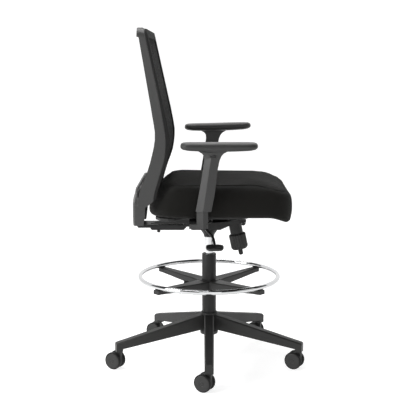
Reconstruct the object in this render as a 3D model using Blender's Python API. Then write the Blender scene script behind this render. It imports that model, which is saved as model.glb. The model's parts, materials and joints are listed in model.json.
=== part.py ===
"""Drafting chair on a five-leg caster base, with a foot ring, a gas lift, a tilt mechanism,
a mesh back and height-adjustable arms.

Units are metres and +Z is up. The chair faces +X, and its left side is at +Y.
The pieces are modelled round the column axis, which an empty then places in the part's frame.
"""

import math

import bmesh
import bpy
from mathutils import Matrix, Vector

GAP = 0.0003
SMOOTH_ANGLE = math.radians(35)

# Column axis in the part's frame, whose origin is under the middle of the whole chair
AXIS_X = 0.0147
AXIS_Y = 0.0240

# Star base
LEG_ANGLES = [-90, -18, 54, 126, 198]
LEG_REACH = 0.3416
LEG_ROOT_X = 0.0270
LEG_ROOT_TOP = 0.1725
LEG_ROOT_UNDER = 0.1195
LEG_TIP_TOP = 0.0948
LEG_TIP_UNDER = 0.0735
LEG_ROOT_HALF = 0.0175
LEG_TIP_HALF = 0.0148
LEG_CHAMFER = 0.004
LEG_WALL = 0.004
NOSE_LENGTH = 0.0232
NOSE_BOTTOM = 0.0625
HUB_RADIUS = 0.030
HUB_TOP = 0.180
HUB_BOTTOM = 0.1005

# Twin-wheel casters
STEM_REACH = 0.330
STEM_RADIUS = 0.0055
STEM_NECK_RADIUS = 0.0045
STEM_TOP = 0.0845
STEM_BOTTOM = 0.0380
CASTER_TRAIL = 0.0165
CASTER_TURN = 27
WHEEL_RADIUS = 0.0305
WHEEL_SIDES = 24
WHEEL_INNER = 0.0072
WHEEL_OUTER = 0.0220
CASTER_BODY_HALF = 0.0066
AXLE_RADIUS = 0.003

# Column and gas lift
COLUMN_RADIUS = 0.025
COLUMN_WALL = 0.002
COLUMN_BOTTOM = 0.1012
COLUMN_TOP = 0.3885
BUSH_LENGTH = 0.095
BUSH_COLLAR = 0.003
BEARING_HEIGHT = 0.006
CYLINDER_RADIUS = 0.014
CYLINDER_BOTTOM = 0.155
TAPER_START = 0.4555
CYLINDER_TOP = 0.500
ROD_BORE_TOP = 0.440
VALVE_PIN_RADIUS = 0.0040
VALVE_PIN_TOP = 0.5137
VALVE_PIN_BOTTOM = 0.4853
VALVE_BORE_BOTTOM = 0.4780
ROD_RADIUS = 0.005
ROD_TOP = 0.360

# Foot ring
RING_RADIUS = 0.2444
RING_TUBE = 0.008
RING_HEIGHT = 0.3098
SPOKE_ANGLES = [45, 135, 225, 315]
SPIDER_HUB_RADIUS = 0.035
SPIDER_TOP = 0.2955
SPIDER_BOTTOM = 0.2665
RING_KNOB_HEIGHT = 0.281
RING_KNOB_REACH = 0.090
RING_KNOB_LENGTH = 0.018
RING_SHANK_RADIUS = 0.0040

# Tilt mechanism
HOUSING_HALF = 0.065
HOUSING_FLOOR = 0.4865
SHEET = 0.003
BACK_PIVOT = (-0.045, 0.5045)
SEAT_PIVOT = (0.1175, 0.5120)
EAR_RADIUS = 0.0090
KNOB_TOP = (0.098, 0.0, 0.464)
KNOB_LEAN = 12
KNOB_RADIUS = 0.030
KNOB_LENGTH = 0.0567
LEVER_PIVOT = (0.006, -0.063, 0.5182)
LEVER_RADIUS = 0.004
LEVER_DROP = [
    (0.011, -0.100, 0.5060),
    (0.015, -0.150, 0.4780),
    (0.018, -0.184, 0.4590),
    (0.018, -0.205, 0.4545),
]
BACK_PIN_RADIUS = 0.0050
SEAT_PIN_RADIUS = 0.0045
TENSION_SCREW_RADIUS = 0.0040
SPRING_SEAT = 0.0035
SPRING_BORE_RADIUS = 0.0190

# Seat
PAN_BOTTOM = 0.5435
PAN_TOP = 0.5535
CUSHION_REAR = -0.2055
CUSHION_FRONT = 0.276
CUSHION_HALF = 0.249
CUSHION_BOTTOM = 0.5545
LIP_START = 0.205
SEAM_HEIGHT = 0.6587
CROWN_HEIGHT = 0.6725

# Arms
ARM_INNER = 0.2535
ARM_EDGE = 0.2720
ARM_RIDGE = 0.2840
ARM_LEAN = math.atan(0.163)
ARM_FOOT = (-0.0184, 0.2645, 0.5838)
UPRIGHT_HALF_X = 0.0140
UPRIGHT_HALF_Y = 0.0055
PAD_CENTRE = (0.0318, 0.2626)
PAD_HALF_LENGTH = 0.1237
PAD_HALF_WIDTH = 0.042
PAD_TOP = 0.8062
LEFT_ARM_RAISE = 0.0282

# Back
BACK_HALF = 0.235
UPRIGHT_THICKNESS = 0.017
BACK_TOP = 1.1695
BACK_TOP_STEP = 0.0055
BACK_HOOK = 0.0065
TOP_RAIL = 0.031
LOWER_RAIL_BOTTOM = 0.655
LOWER_RAIL_TOP = 0.685
MESH_THICKNESS = 0.0016
MESH_SETBACK = 0.005
BAR_HALF = 0.045
CARRIER_WALL = 0.006

# The back's rear and front curves from the side, as (x, z) knots from low to high
BACK_REAR_CURVE = [
    (-0.2360, 0.588),
    (-0.2250, 0.650),
    (-0.2050, 0.697),
    (-0.1880, 0.750),
    (-0.1745, 0.822),
    (-0.1830, 0.890),
    (-0.1990, 0.990),
    (-0.2240, 1.139),
]

BACK_FRONT_CURVE = [
    (-0.1735, 0.619),
    (-0.1690, 0.640),
    (-0.1530, 0.692),
    (-0.1350, 0.743),
    (-0.1275, 0.810),
    (-0.1360, 0.867),
    (-0.1470, 0.922),
    (-0.1640, 1.000),
    (-0.2000, 1.166),
]


# Shared helpers

def clear_scene():
    for thing in list(bpy.data.objects):
        bpy.data.objects.remove(thing, do_unlink=True)


def material(name, colour, roughness, metallic=0.0):
    """A Principled material, made once for each name."""
    found = bpy.data.materials.get(name)
    if found:
        return found
    made = bpy.data.materials.new(name)
    made.use_nodes = True
    shader = made.node_tree.nodes["Principled BSDF"]
    shader.inputs["Base Color"].default_value = (*colour, 1.0)
    shader.inputs["Roughness"].default_value = roughness
    shader.inputs["Metallic"].default_value = metallic
    made.diffuse_color = (*colour, 1.0)
    return made


def black_nylon():
    return material("black_nylon", (0.033, 0.033, 0.034), 0.5)


def grey_plastic():
    return material("grey_plastic", (0.075, 0.075, 0.078), 0.5)


def wheel_plastic():
    return material("wheel_plastic", (0.060, 0.060, 0.062), 0.45)


def chrome():
    return material("chrome", (0.80, 0.80, 0.81), 0.08, 1.0)


def black_steel():
    return material("black_steel", (0.030, 0.030, 0.032), 0.42, 0.5)


def bright_steel():
    return material("bright_steel", (0.52, 0.52, 0.53), 0.3, 1.0)


def seat_fabric():
    return material("seat_fabric", (0.014, 0.013, 0.012), 0.95)


def mesh_fabric():
    return material("mesh_fabric", (0.030, 0.030, 0.031), 0.9)


def pad_foam():
    return material("pad_foam", (0.055, 0.055, 0.057), 0.6)


def finish_mesh(bm, name):
    """Turn a bmesh into a mesh with its faces outward and its round faces smooth."""
    bmesh.ops.remove_doubles(bm, verts=bm.verts, dist=1e-6)
    bmesh.ops.recalc_face_normals(bm, faces=bm.faces)
    mesh = bpy.data.meshes.new(name)
    bm.to_mesh(mesh)
    bm.free()
    mesh.shade_smooth()
    mesh.set_sharp_from_angle(angle=SMOOTH_ANGLE)
    return mesh


def rings_mesh(name, rings, closed=False):
    """Join rings of equally many points with quads, and cap the ends unless the rings close."""
    bm = bmesh.new()
    loops = [[bm.verts.new(point) for point in ring] for ring in rings]
    count = len(loops[0])
    pairs = list(zip(loops, loops[1:]))
    if closed:
        pairs.append((loops[-1], loops[0]))
    for low, high in pairs:
        for i in range(count):
            j = (i + 1) % count
            bm.faces.new((low[i], low[j], high[j], high[i]))
    if not closed:
        bm.faces.new(loops[0])
        bm.faces.new(loops[-1])
    return finish_mesh(bm, name)


def turned_mesh(name, profile, sides, axis="Z", start=0.0, lobe=0.0):
    """Turn (radius, height) points round an axis. A profile that starts on the axis ends on it.

    A lobe draws every second point of the outer rows inwards, for a ribbed rim.
    """
    solid = profile[0][0] == 0.0
    rim = 0.8 * max(radius for radius, height in profile)
    bm = bmesh.new()
    rings = []
    for radius, height in profile:
        if radius == 0.0:
            rings.append([bm.verts.new((0.0, 0.0, height))])
            continue
        ring = []
        for i in range(sides):
            angle = start + 2 * math.pi * i / sides
            reach = radius - (lobe if i % 2 and radius > rim else 0.0)
            ring.append(bm.verts.new((reach * math.cos(angle), reach * math.sin(angle), height)))
        rings.append(ring)
    pairs = list(zip(rings, rings[1:]))
    if not solid:
        pairs.append((rings[-1], rings[0]))
    for low, high in pairs:
        for i in range(sides):
            j = (i + 1) % sides
            corners = [low[i % len(low)], low[j % len(low)], high[j % len(high)], high[i % len(high)]]
            bm.faces.new(list(dict.fromkeys(corners)))
    turn = {
        "Z": Matrix.Identity(4),
        "Y": Matrix.Rotation(-math.pi / 2, 4, "X"),
        "X": Matrix.Rotation(math.pi / 2, 4, "Y"),
    }[axis]
    bm.transform(turn)
    return finish_mesh(bm, name)


def prism_mesh(name, outline, low, high, axis="Y"):
    """Extrude a flat outline. The outline is (x, z) along Y, (x, y) along Z or (y, z) along X."""
    def point(pair, level):
        a, b = pair
        return {"Y": (a, level, b), "Z": (a, b, level), "X": (level, a, b)}[axis]

    rings = [[point(pair, level) for pair in outline] for level in (low, high)]
    return rings_mesh(name, rings)


def box_mesh(name, low, high):
    outline = [(low[0], low[1]), (high[0], low[1]), (high[0], high[1]), (low[0], high[1])]
    return prism_mesh(name, outline, low[2], high[2], "Z")


def combined(mesh, tools, operation):
    """Cut, join or cross a mesh with tool meshes one after the other, and return the result."""
    work = bpy.data.objects.new("work", mesh)
    bpy.context.scene.collection.objects.link(work)
    for tool_mesh in tools:
        tool = bpy.data.objects.new("tool", tool_mesh)
        tool.hide_render = True
        tool.display_type = "WIRE"
        bpy.context.scene.collection.objects.link(tool)
        cut = work.modifiers.new("cut", "BOOLEAN")
        cut.operation = operation
        cut.object = tool
        graph = bpy.context.evaluated_depsgraph_get()
        result = bpy.data.meshes.new_from_object(work.evaluated_get(graph))
        work.modifiers.clear()
        work.data = result
        bpy.data.objects.remove(tool, do_unlink=True)
    made = work.data
    bpy.data.objects.remove(work, do_unlink=True)
    bm = bmesh.new()
    bm.from_mesh(made)
    return finish_mesh(bm, mesh.name)


def moved(mesh, matrix):
    """A copy of a mesh, moved by a matrix."""
    copy = mesh.copy()
    copy.transform(matrix)
    if matrix.determinant() < 0:
        copy.flip_normals()
    return copy


def mirrored(mesh):
    """The same piece for the other side of the chair."""
    return moved(mesh, Matrix.Scale(-1, 4, (0, 1, 0)))


def turned_about_z(degrees):
    return Matrix.Rotation(math.radians(degrees), 4, "Z")


def empty(name, parent, location):
    """A pivot that moving pieces hang on. Its location is measured from the column axis."""
    thing = bpy.data.objects.new(name, None)
    thing.empty_display_size = 0.02
    bpy.context.scene.collection.objects.link(thing)
    thing.parent = parent
    thing.location = location
    return thing


def place(name, mesh, look, parent, pivot=(0, 0, 0), rotation=(0, 0, 0)):
    """Put a mesh that is drawn round its own pivot onto its parent."""
    thing = bpy.data.objects.new(name, mesh)
    bpy.context.scene.collection.objects.link(thing)
    mesh.materials.clear()
    mesh.materials.append(look)
    thing.parent = parent
    thing.location = pivot
    thing.rotation_euler = rotation
    return thing


def place_at(name, mesh, look, pivot_empty, pivot):
    """Put a mesh that is drawn round the column axis onto a pivot empty."""
    return place(name, moved(mesh, Matrix.Translation(-Vector(pivot))), look, pivot_empty)


def arc(centre, radius, start, end, steps):
    """Points on an arc, in degrees, both ends included."""
    points = []
    for i in range(steps + 1):
        angle = math.radians(start + (end - start) * i / steps)
        points.append((centre[0] + radius * math.cos(angle), centre[1] + radius * math.sin(angle)))
    return points


def rounded_box_outline(low, high, radius, steps):
    """A rectangle with round corners, anticlockwise."""
    points = []
    corners = [
        (high[0], high[1]),
        (low[0], high[1]),
        (low[0], low[1]),
        (high[0], low[1]),
    ]
    for quarter, (x, y) in enumerate(corners):
        start = 90 * quarter
        centre = (x - radius if x == high[0] else x + radius, y - radius if y == high[1] else y + radius)
        points += arc(centre, radius, start, start + 90, steps)
    return points


def smoothstep(value):
    value = min(max(value, 0.0), 1.0)
    return value * value * (3 - 2 * value)


def curve_through(knots, height):
    """The x of a smooth curve at a height, through (x, height) knots listed from low to high."""
    slopes = []
    for i in range(len(knots)):
        before = knots[max(i - 1, 0)]
        after = knots[min(i + 1, len(knots) - 1)]
        slopes.append((after[0] - before[0]) / (after[1] - before[1]))
    for i in range(len(knots) - 1):
        (x0, z0), (x1, z1) = knots[i], knots[i + 1]
        if height <= z1 or i == len(knots) - 2:
            span = z1 - z0
            t = (height - z0) / span
            return (
                (2 * t ** 3 - 3 * t ** 2 + 1) * x0
                + (t ** 3 - 2 * t ** 2 + t) * span * slopes[i]
                + (-2 * t ** 3 + 3 * t ** 2) * x1
                + (t ** 3 - t ** 2) * span * slopes[i + 1]
            )


# Star base

def leg_top(reach):
    share = (reach - LEG_ROOT_X) / (LEG_REACH - LEG_ROOT_X)
    return LEG_ROOT_TOP + (LEG_TIP_TOP - LEG_ROOT_TOP) * share


def leg_section(reach, top, under, inset=0.0):
    """A cut across a leg at one reach: flat underneath, with its upper edges chamfered."""
    share = (reach - LEG_ROOT_X) / (LEG_REACH - LEG_ROOT_X)
    half = LEG_ROOT_HALF + (LEG_TIP_HALF - LEG_ROOT_HALF) * share - inset
    return [
        (reach, -half, under),
        (reach, half, under),
        (reach, half, top - LEG_CHAMFER),
        (reach, half - LEG_CHAMFER, top),
        (reach, -half + LEG_CHAMFER, top),
        (reach, -half, top - LEG_CHAMFER),
    ]


def leg_mesh():
    nose_start = LEG_REACH - NOSE_LENGTH
    rounding = 0.004
    return rings_mesh("leg", [
        leg_section(LEG_ROOT_X, LEG_ROOT_TOP, LEG_ROOT_UNDER),
        leg_section(nose_start, leg_top(nose_start), LEG_TIP_UNDER),
        leg_section(nose_start + 0.0015, leg_top(nose_start), NOSE_BOTTOM),
        leg_section(LEG_REACH - rounding, leg_top(LEG_REACH - rounding), NOSE_BOTTOM),
        leg_section(LEG_REACH, LEG_TIP_TOP - rounding / 2, NOSE_BOTTOM),
    ])


def leg_channel_mesh():
    """The hollow under a leg, open downwards."""
    start = 0.046
    end = LEG_REACH - NOSE_LENGTH - 0.006
    below = 0.05
    return rings_mesh("leg_channel", [
        leg_section(start, leg_top(start) - LEG_WALL, LEG_ROOT_UNDER - below, LEG_WALL),
        leg_section(end, leg_top(end) - LEG_WALL, LEG_TIP_UNDER - below, LEG_WALL),
    ])


def star_base_mesh():
    hub = turned_mesh("star_base", [
        (HUB_RADIUS - 0.002, HUB_TOP),
        (HUB_RADIUS, HUB_TOP - 0.002),
        (HUB_RADIUS, HUB_BOTTOM + 0.016),
        (HUB_RADIUS + 0.003, HUB_BOTTOM + 0.012),
        (HUB_RADIUS + 0.001, HUB_BOTTOM),
        (COLUMN_RADIUS + GAP, HUB_BOTTOM),
        (COLUMN_RADIUS + GAP, HUB_TOP),
    ], 32)
    leg = leg_mesh()
    channel = leg_channel_mesh()
    bore = turned_mesh("stem_bore", [
        (0.0, STEM_TOP + GAP),
        (STEM_RADIUS + GAP, STEM_TOP + GAP),
        (STEM_RADIUS + GAP, NOSE_BOTTOM - 0.01),
        (0.0, NOSE_BOTTOM - 0.01),
    ], 16)
    bore.transform(Matrix.Translation((STEM_REACH, 0, 0)))
    turns = [turned_about_z(angle) for angle in LEG_ANGLES]
    whole = combined(hub, [moved(leg, turn) for turn in turns], "UNION")
    return combined(whole, [moved(tool, turn) for turn in turns for tool in (channel, bore)], "DIFFERENCE")


def add_base(axis):
    place("star_base", star_base_mesh(), black_nylon(), axis)


# Casters

def caster_stem_mesh():
    return turned_mesh("caster_stem", [
        (0.0, STEM_TOP),
        (STEM_RADIUS - 0.0012, STEM_TOP),
        (STEM_RADIUS, STEM_TOP - 0.0012),
        (STEM_RADIUS, NOSE_BOTTOM - 0.0008),
        (STEM_NECK_RADIUS, NOSE_BOTTOM - 0.0016),
        (STEM_NECK_RADIUS, STEM_BOTTOM),
        (0.0, STEM_BOTTOM),
    ], 14)


def caster_body_mesh():
    """The plate between the wheels, with the stem's boss over its leading edge."""
    axle = (-CASTER_TRAIL, WHEEL_RADIUS)
    disc = 0.0255
    boss = 0.0085
    boss_top = NOSE_BOTTOM - 0.0022
    behind_stem = 80
    under_nose = 340
    outline = arc(axle, disc, behind_stem, under_nose, 14)
    outline += [(boss, axle[1] - 0.002), (boss, boss_top), (-boss - 0.006, boss_top)]
    plate = prism_mesh("caster_body", outline, -CASTER_BODY_HALF, CASTER_BODY_HALF)
    neck_bore = turned_mesh("neck_bore", [
        (0.0, boss_top + 0.01),
        (STEM_NECK_RADIUS + GAP, boss_top + 0.01),
        (STEM_NECK_RADIUS + GAP, STEM_BOTTOM - GAP),
        (0.0, STEM_BOTTOM - GAP),
    ], 14)
    axle_bore = turned_mesh("axle_bore", [
        (0.0, 0.02),
        (AXLE_RADIUS + GAP, 0.02),
        (AXLE_RADIUS + GAP, -0.02),
        (0.0, -0.02),
    ], 12, "Y")
    axle_bore.transform(Matrix.Translation((axle[0], 0, axle[1])))
    return combined(plate, [neck_bore, axle_bore], "DIFFERENCE")


def caster_axle_mesh():
    half = WHEEL_OUTER - 0.0045
    return turned_mesh("caster_axle", [
        (0.0, half),
        (AXLE_RADIUS, half),
        (AXLE_RADIUS, -half),
        (0.0, -half),
    ], 12, "Y")


def wheel_mesh():
    """One wheel, drawn round its axle along +Y, with a flat of its tread facing straight down."""
    flat_share = math.cos(math.pi / WHEEL_SIDES)
    tread = WHEEL_RADIUS / flat_share
    blind_end = WHEEL_OUTER - 0.004
    return turned_mesh("wheel", [
        (0.0, WHEEL_OUTER),
        (tread - 0.0045, WHEEL_OUTER),
        (tread, WHEEL_OUTER - 0.0035),
        (tread, WHEEL_INNER + 0.0025),
        (tread - 0.0035, WHEEL_INNER),
        (AXLE_RADIUS + GAP, WHEEL_INNER),
        (AXLE_RADIUS + GAP, blind_end),
        (0.0, blind_end),
    ], WHEEL_SIDES, "Y", math.pi / 2 + math.pi / WHEEL_SIDES)


def add_casters(axis):
    """Five casters. Their meshes are shared, and each hangs on its own swivel."""
    stem = caster_stem_mesh()
    body = caster_body_mesh()
    pin = caster_axle_mesh()
    outer = wheel_mesh()
    inner = mirrored(outer)
    axle_point = (-CASTER_TRAIL, 0, WHEEL_RADIUS)
    for number, angle in enumerate(LEG_ANGLES, start=1):
        way = math.radians(angle)
        foot = (STEM_REACH * math.cos(way), STEM_REACH * math.sin(way), 0)
        place(f"caster_stem_{number}", stem, bright_steel(), axis, foot)
        swivel = empty(f"caster_swivel_{number}", axis, foot)
        swivel.rotation_euler = (0, 0, -math.radians(CASTER_TURN))
        place(f"caster_body_{number}", body, black_nylon(), swivel)
        place(f"caster_axle_{number}", pin, bright_steel(), swivel, axle_point)
        place(f"wheel_left_{number}", outer, wheel_plastic(), swivel, axle_point)
        place(f"wheel_right_{number}", inner, wheel_plastic(), swivel, axle_point)


# Column and gas lift

def column_tube_mesh():
    """The outer tube, with a floor that the piston rod is held in."""
    floor_top = COLUMN_BOTTOM + COLUMN_WALL
    inner = COLUMN_RADIUS - COLUMN_WALL
    hole = ROD_RADIUS - 0.0007
    return turned_mesh("column_tube", [
        (COLUMN_RADIUS, COLUMN_TOP),
        (COLUMN_RADIUS, COLUMN_BOTTOM),
        (hole, COLUMN_BOTTOM),
        (hole, floor_top),
        (inner, floor_top),
        (inner, COLUMN_TOP),
    ], 32)


def guide_bush_mesh():
    """The plastic bush that the cylinder slides in, with a collar on the tube's end."""
    outer = COLUMN_RADIUS - COLUMN_WALL - GAP
    collar = COLUMN_TOP + GAP
    return turned_mesh("column_guide_bush", [
        (COLUMN_RADIUS, collar + BUSH_COLLAR),
        (COLUMN_RADIUS, collar),
        (outer, collar),
        (outer, COLUMN_TOP - BUSH_LENGTH),
        (CYLINDER_RADIUS + GAP, COLUMN_TOP - BUSH_LENGTH),
        (CYLINDER_RADIUS + GAP, collar + BUSH_COLLAR),
    ], 32)


def thrust_bearing_mesh():
    low = COLUMN_BOTTOM + COLUMN_WALL + GAP
    outer = 0.015
    inner = 0.0046
    return turned_mesh("thrust_bearing", [
        (outer, low + BEARING_HEIGHT),
        (outer, low),
        (inner, low),
        (inner, low + BEARING_HEIGHT),
    ], 20)


def piston_rod_mesh():
    """The rod, held by a head under the tube's floor and a shoulder over the bearing."""
    floor_low = COLUMN_BOTTOM - GAP
    bearing_top = COLUMN_BOTTOM + COLUMN_WALL + 2 * GAP + BEARING_HEIGHT
    neck = ROD_RADIUS - 0.001
    shoulder = 0.009
    shoulder_top = bearing_top + 0.004
    head = 0.007
    head_low = floor_low - 0.005
    return turned_mesh("piston_rod", [
        (0.0, ROD_TOP),
        (ROD_RADIUS, ROD_TOP),
        (ROD_RADIUS, shoulder_top),
        (shoulder, shoulder_top),
        (shoulder, bearing_top),
        (neck, bearing_top),
        (neck, floor_low),
        (head, floor_low),
        (head, head_low),
        (0.0, head_low),
    ], 16)


def gas_cylinder_mesh():
    """The cylinder, bored from below for the rod and from above for the valve pin."""
    bore = ROD_RADIUS + GAP
    body = turned_mesh("gas_cylinder", [
        (0.0, CYLINDER_TOP),
        (CYLINDER_RADIUS - 0.001, CYLINDER_TOP),
        (CYLINDER_RADIUS, TAPER_START),
        (CYLINDER_RADIUS, CYLINDER_BOTTOM),
        (bore, CYLINDER_BOTTOM),
        (bore, ROD_BORE_TOP),
        (0.0, ROD_BORE_TOP),
    ], 28)
    pin_bore = turned_mesh("pin_bore", [
        (0.0, CYLINDER_TOP + 0.01),
        (VALVE_PIN_RADIUS + GAP, CYLINDER_TOP + 0.01),
        (VALVE_PIN_RADIUS + GAP, VALVE_BORE_BOTTOM),
        (0.0, VALVE_BORE_BOTTOM),
    ], 14)
    return combined(body, [pin_bore], "DIFFERENCE")


def valve_pin_mesh():
    return turned_mesh("valve_pin", [
        (0.0, VALVE_PIN_TOP),
        (VALVE_PIN_RADIUS, VALVE_PIN_TOP),
        (VALVE_PIN_RADIUS, VALVE_PIN_BOTTOM),
        (0.0, VALVE_PIN_BOTTOM),
    ], 14)


def add_column(axis):
    place("column_tube", column_tube_mesh(), black_steel(), axis)
    place("column_guide_bush", guide_bush_mesh(), black_nylon(), axis)
    place("thrust_bearing", thrust_bearing_mesh(), bright_steel(), axis)
    place("piston_rod", piston_rod_mesh(), bright_steel(), axis)
    place("gas_cylinder", gas_cylinder_mesh(), chrome(), axis)
    place("valve_pin", valve_pin_mesh(), bright_steel(), axis)


# Foot ring

def foot_ring_mesh():
    """The chromed tube, drawn as a ring of round sections."""
    sides = 10
    steps = 48
    rings = []
    for i in range(steps):
        turn = 2 * math.pi * i / steps
        ring = []
        for across, up in arc((RING_RADIUS, RING_HEIGHT), RING_TUBE, 0, 360 - 360 / sides, sides - 1):
            ring.append((across * math.cos(turn), across * math.sin(turn), up))
        rings.append(ring)
    return rings_mesh("foot_ring", rings, closed=True)


def spoke_mesh():
    """One spoke, which narrows outwards and rises a little to carry the ring on its end."""
    tip = RING_RADIUS + 0.0085
    tip_top = RING_HEIGHT - RING_TUBE - GAP
    root = COLUMN_RADIUS + 0.004
    stations = [
        (root, 0.030, SPIDER_TOP, SPIDER_BOTTOM + 0.002),
        (root + 0.035, 0.0235, SPIDER_TOP + 0.0005, SPIDER_BOTTOM + 0.005),
        (tip - 0.030, 0.0135, tip_top, tip_top - 0.0165),
        (tip, 0.0125, tip_top, tip_top - 0.0150),
    ]
    chamfer = 0.003
    rings = []
    for reach, half, top, under in stations:
        rings.append([
            (reach, -half, under),
            (reach, half, under),
            (reach, half, top - chamfer),
            (reach, half - chamfer, top),
            (reach, -half + chamfer, top),
            (reach, -half, top - chamfer),
        ])
    return rings_mesh("spoke", rings)


def foot_ring_spider_mesh():
    hub = turned_mesh("foot_ring_spider", [
        (SPIDER_HUB_RADIUS - 0.002, SPIDER_TOP + 0.002),
        (SPIDER_HUB_RADIUS, SPIDER_TOP),
        (SPIDER_HUB_RADIUS, SPIDER_BOTTOM),
        (COLUMN_RADIUS + GAP, SPIDER_BOTTOM),
        (COLUMN_RADIUS + GAP, SPIDER_TOP + 0.002),
    ], 32)
    spoke = spoke_mesh()
    whole = combined(hub, [moved(spoke, turned_about_z(angle)) for angle in SPOKE_ANGLES], "UNION")
    column = turned_mesh("column_clearance", [
        (0.0, 0.5),
        (COLUMN_RADIUS + GAP, 0.5),
        (COLUMN_RADIUS + GAP, 0.1),
        (0.0, 0.1),
    ], 32)
    screw = turned_mesh("screw_hole", [
        (0.0, -0.02),
        (RING_SHANK_RADIUS + GAP, -0.02),
        (RING_SHANK_RADIUS + GAP, -0.08),
        (0.0, -0.08),
    ], 12, "X")
    screw.transform(Matrix.Translation((0, 0, RING_KNOB_HEIGHT)))
    return combined(whole, [column, screw], "DIFFERENCE")


def foot_ring_knob_mesh():
    """The clamp knob and its threaded shank, drawn round its own axis along -X."""
    shank_end = COLUMN_RADIUS + 2 * GAP
    outer = RING_KNOB_REACH
    return turned_mesh("foot_ring_knob", [
        (0.0, -shank_end),
        (RING_SHANK_RADIUS, -shank_end),
        (RING_SHANK_RADIUS, -outer + RING_KNOB_LENGTH),
        (0.0105, -outer + RING_KNOB_LENGTH),
        (0.0115, -outer + 0.003),
        (0.009, -outer),
        (0.0, -outer),
    ], 16, "X")


def add_foot_ring(axis):
    place("foot_ring_spider", foot_ring_spider_mesh(), black_nylon(), axis)
    place("foot_ring", foot_ring_mesh(), chrome(), axis)
    place("foot_ring_knob", foot_ring_knob_mesh(), black_nylon(), axis, (0, 0, RING_KNOB_HEIGHT))


# Tilt mechanism

def knob_frame():
    """The tension knob's own frame: its origin on the knob's top, its -Z along the knob."""
    return Matrix.Translation(KNOB_TOP) @ Matrix.Rotation(-math.radians(KNOB_LEAN), 4, "Y")


def pin_mesh(name, radius, half, pivot, sides=14):
    """A pin across the chair at a pivot's x and z."""
    pin = turned_mesh(name, [(0.0, half), (radius, half), (radius, -half), (0.0, -half)], sides, "Y")
    pin.transform(Matrix.Translation((pivot[0], 0, pivot[1])))
    return pin


def tilt_housing_mesh():
    """A pressed pan, open above and behind, with the lift's taper socket and the spring's boss."""
    rear = -0.062
    front = 0.128
    rear_top = 0.5105
    mid_top = (0.050, 0.5130)
    front_top = 0.5265
    pan = prism_mesh("tilt_housing", [
        (rear, HOUSING_FLOOR),
        (0.038, HOUSING_FLOOR),
        (0.066, 0.4990),
        (front, 0.5215 - 0.0065),
        (front, front_top),
        mid_top,
        (rear, rear_top),
    ], -HOUSING_HALF, HOUSING_HALF)
    inner = HOUSING_HALF - SHEET
    pocket = prism_mesh("pocket", [
        (rear - 0.01, HOUSING_FLOOR + SHEET),
        (0.0375, HOUSING_FLOOR + SHEET),
        (0.065, 0.4990 + SHEET),
        (front - SHEET, 0.5150 + SHEET),
        (front - SHEET, 0.6),
        (rear - 0.01, 0.6),
    ], -inner, inner)
    rear_slot = box_mesh("rear_slot", (rear - 0.01, -inner, 0.45), (-0.048, inner, 0.6))
    pan = combined(pan, [pocket, rear_slot], "DIFFERENCE")
    socket = turned_mesh("taper_socket", [
        (0.0, 0.4985),
        (0.019, 0.4985),
        (0.019, HOUSING_FLOOR + 0.0015),
        (0.0275, HOUSING_FLOOR + 0.0010),
        (0.0275, HOUSING_FLOOR - 0.001),
        (0.0185, 0.4570),
        (0.0180, 0.4520),
        (0.0, 0.4520),
    ], 28)
    boss = turned_mesh("spring_boss", [
        (0.0, 0.050),
        (0.0225, 0.050),
        (0.0225, 0.0),
        (0.0, 0.0),
    ], 28)
    boss.transform(knob_frame())
    pan = combined(pan, [socket, boss], "UNION")
    taper = turned_mesh("taper_bore", [
        (0.0, 0.5100),
        (CYLINDER_RADIUS - 0.001 + GAP, 0.5100),
        (CYLINDER_RADIUS - 0.001 + GAP, CYLINDER_TOP),
        (CYLINDER_RADIUS + GAP, TAPER_START),
        (CYLINDER_RADIUS + GAP, 0.44),
        (0.0, 0.44),
    ], 28)
    spring_bore = turned_mesh("spring_bore", [
        (0.0, 0.080),
        (SPRING_BORE_RADIUS, 0.080),
        (SPRING_BORE_RADIUS, SPRING_SEAT),
        (TENSION_SCREW_RADIUS + GAP, SPRING_SEAT),
        (TENSION_SCREW_RADIUS + GAP, -0.010),
        (0.0, -0.010),
    ], 28)
    spring_bore.transform(knob_frame())
    holes = [
        pin_mesh("back_hole", BACK_PIN_RADIUS + GAP, 0.1, BACK_PIVOT),
        pin_mesh("seat_hole", SEAT_PIN_RADIUS + GAP, 0.1, SEAT_PIVOT),
    ]
    return combined(pan, [taper, spring_bore] + holes, "DIFFERENCE")


def seat_plate_mesh():
    """The steel plate under the seat, with two ears that hinge on the front pin."""
    ear_inner = HOUSING_HALF + 0.0015
    ear_outer = ear_inner + 0.004
    top = PAN_BOTTOM - GAP
    low = top - 0.0042
    plate = box_mesh("seat_plate", (-0.080, -ear_outer, low), (0.140, ear_outer, top))
    left = SEAT_PIVOT[0] - EAR_RADIUS
    right = SEAT_PIVOT[0] + EAR_RADIUS
    ear_outline = [(left, low + 0.001), (right, low + 0.001)]
    ear_outline += arc(SEAT_PIVOT, EAR_RADIUS, 0, -180, 8)
    ears = [
        prism_mesh("ear", ear_outline, ear_inner, ear_outer),
        prism_mesh("ear", ear_outline, -ear_outer, -ear_inner),
    ]
    plate = combined(plate, ears, "UNION")
    hole = pin_mesh("hole", SEAT_PIN_RADIUS + GAP, 0.1, SEAT_PIVOT)
    return combined(plate, [hole], "DIFFERENCE")


def tension_knob_mesh():
    """A ribbed knob with a bore for its screw."""
    return turned_mesh("tension_knob", [
        (KNOB_RADIUS - 0.003, -0.0010),
        (KNOB_RADIUS, -0.0040),
        (KNOB_RADIUS, -KNOB_LENGTH + 0.006),
        (KNOB_RADIUS - 0.005, -KNOB_LENGTH),
        (TENSION_SCREW_RADIUS + GAP, -KNOB_LENGTH),
        (TENSION_SCREW_RADIUS + GAP, -0.0010),
    ], 32, lobe=0.0018)


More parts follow.
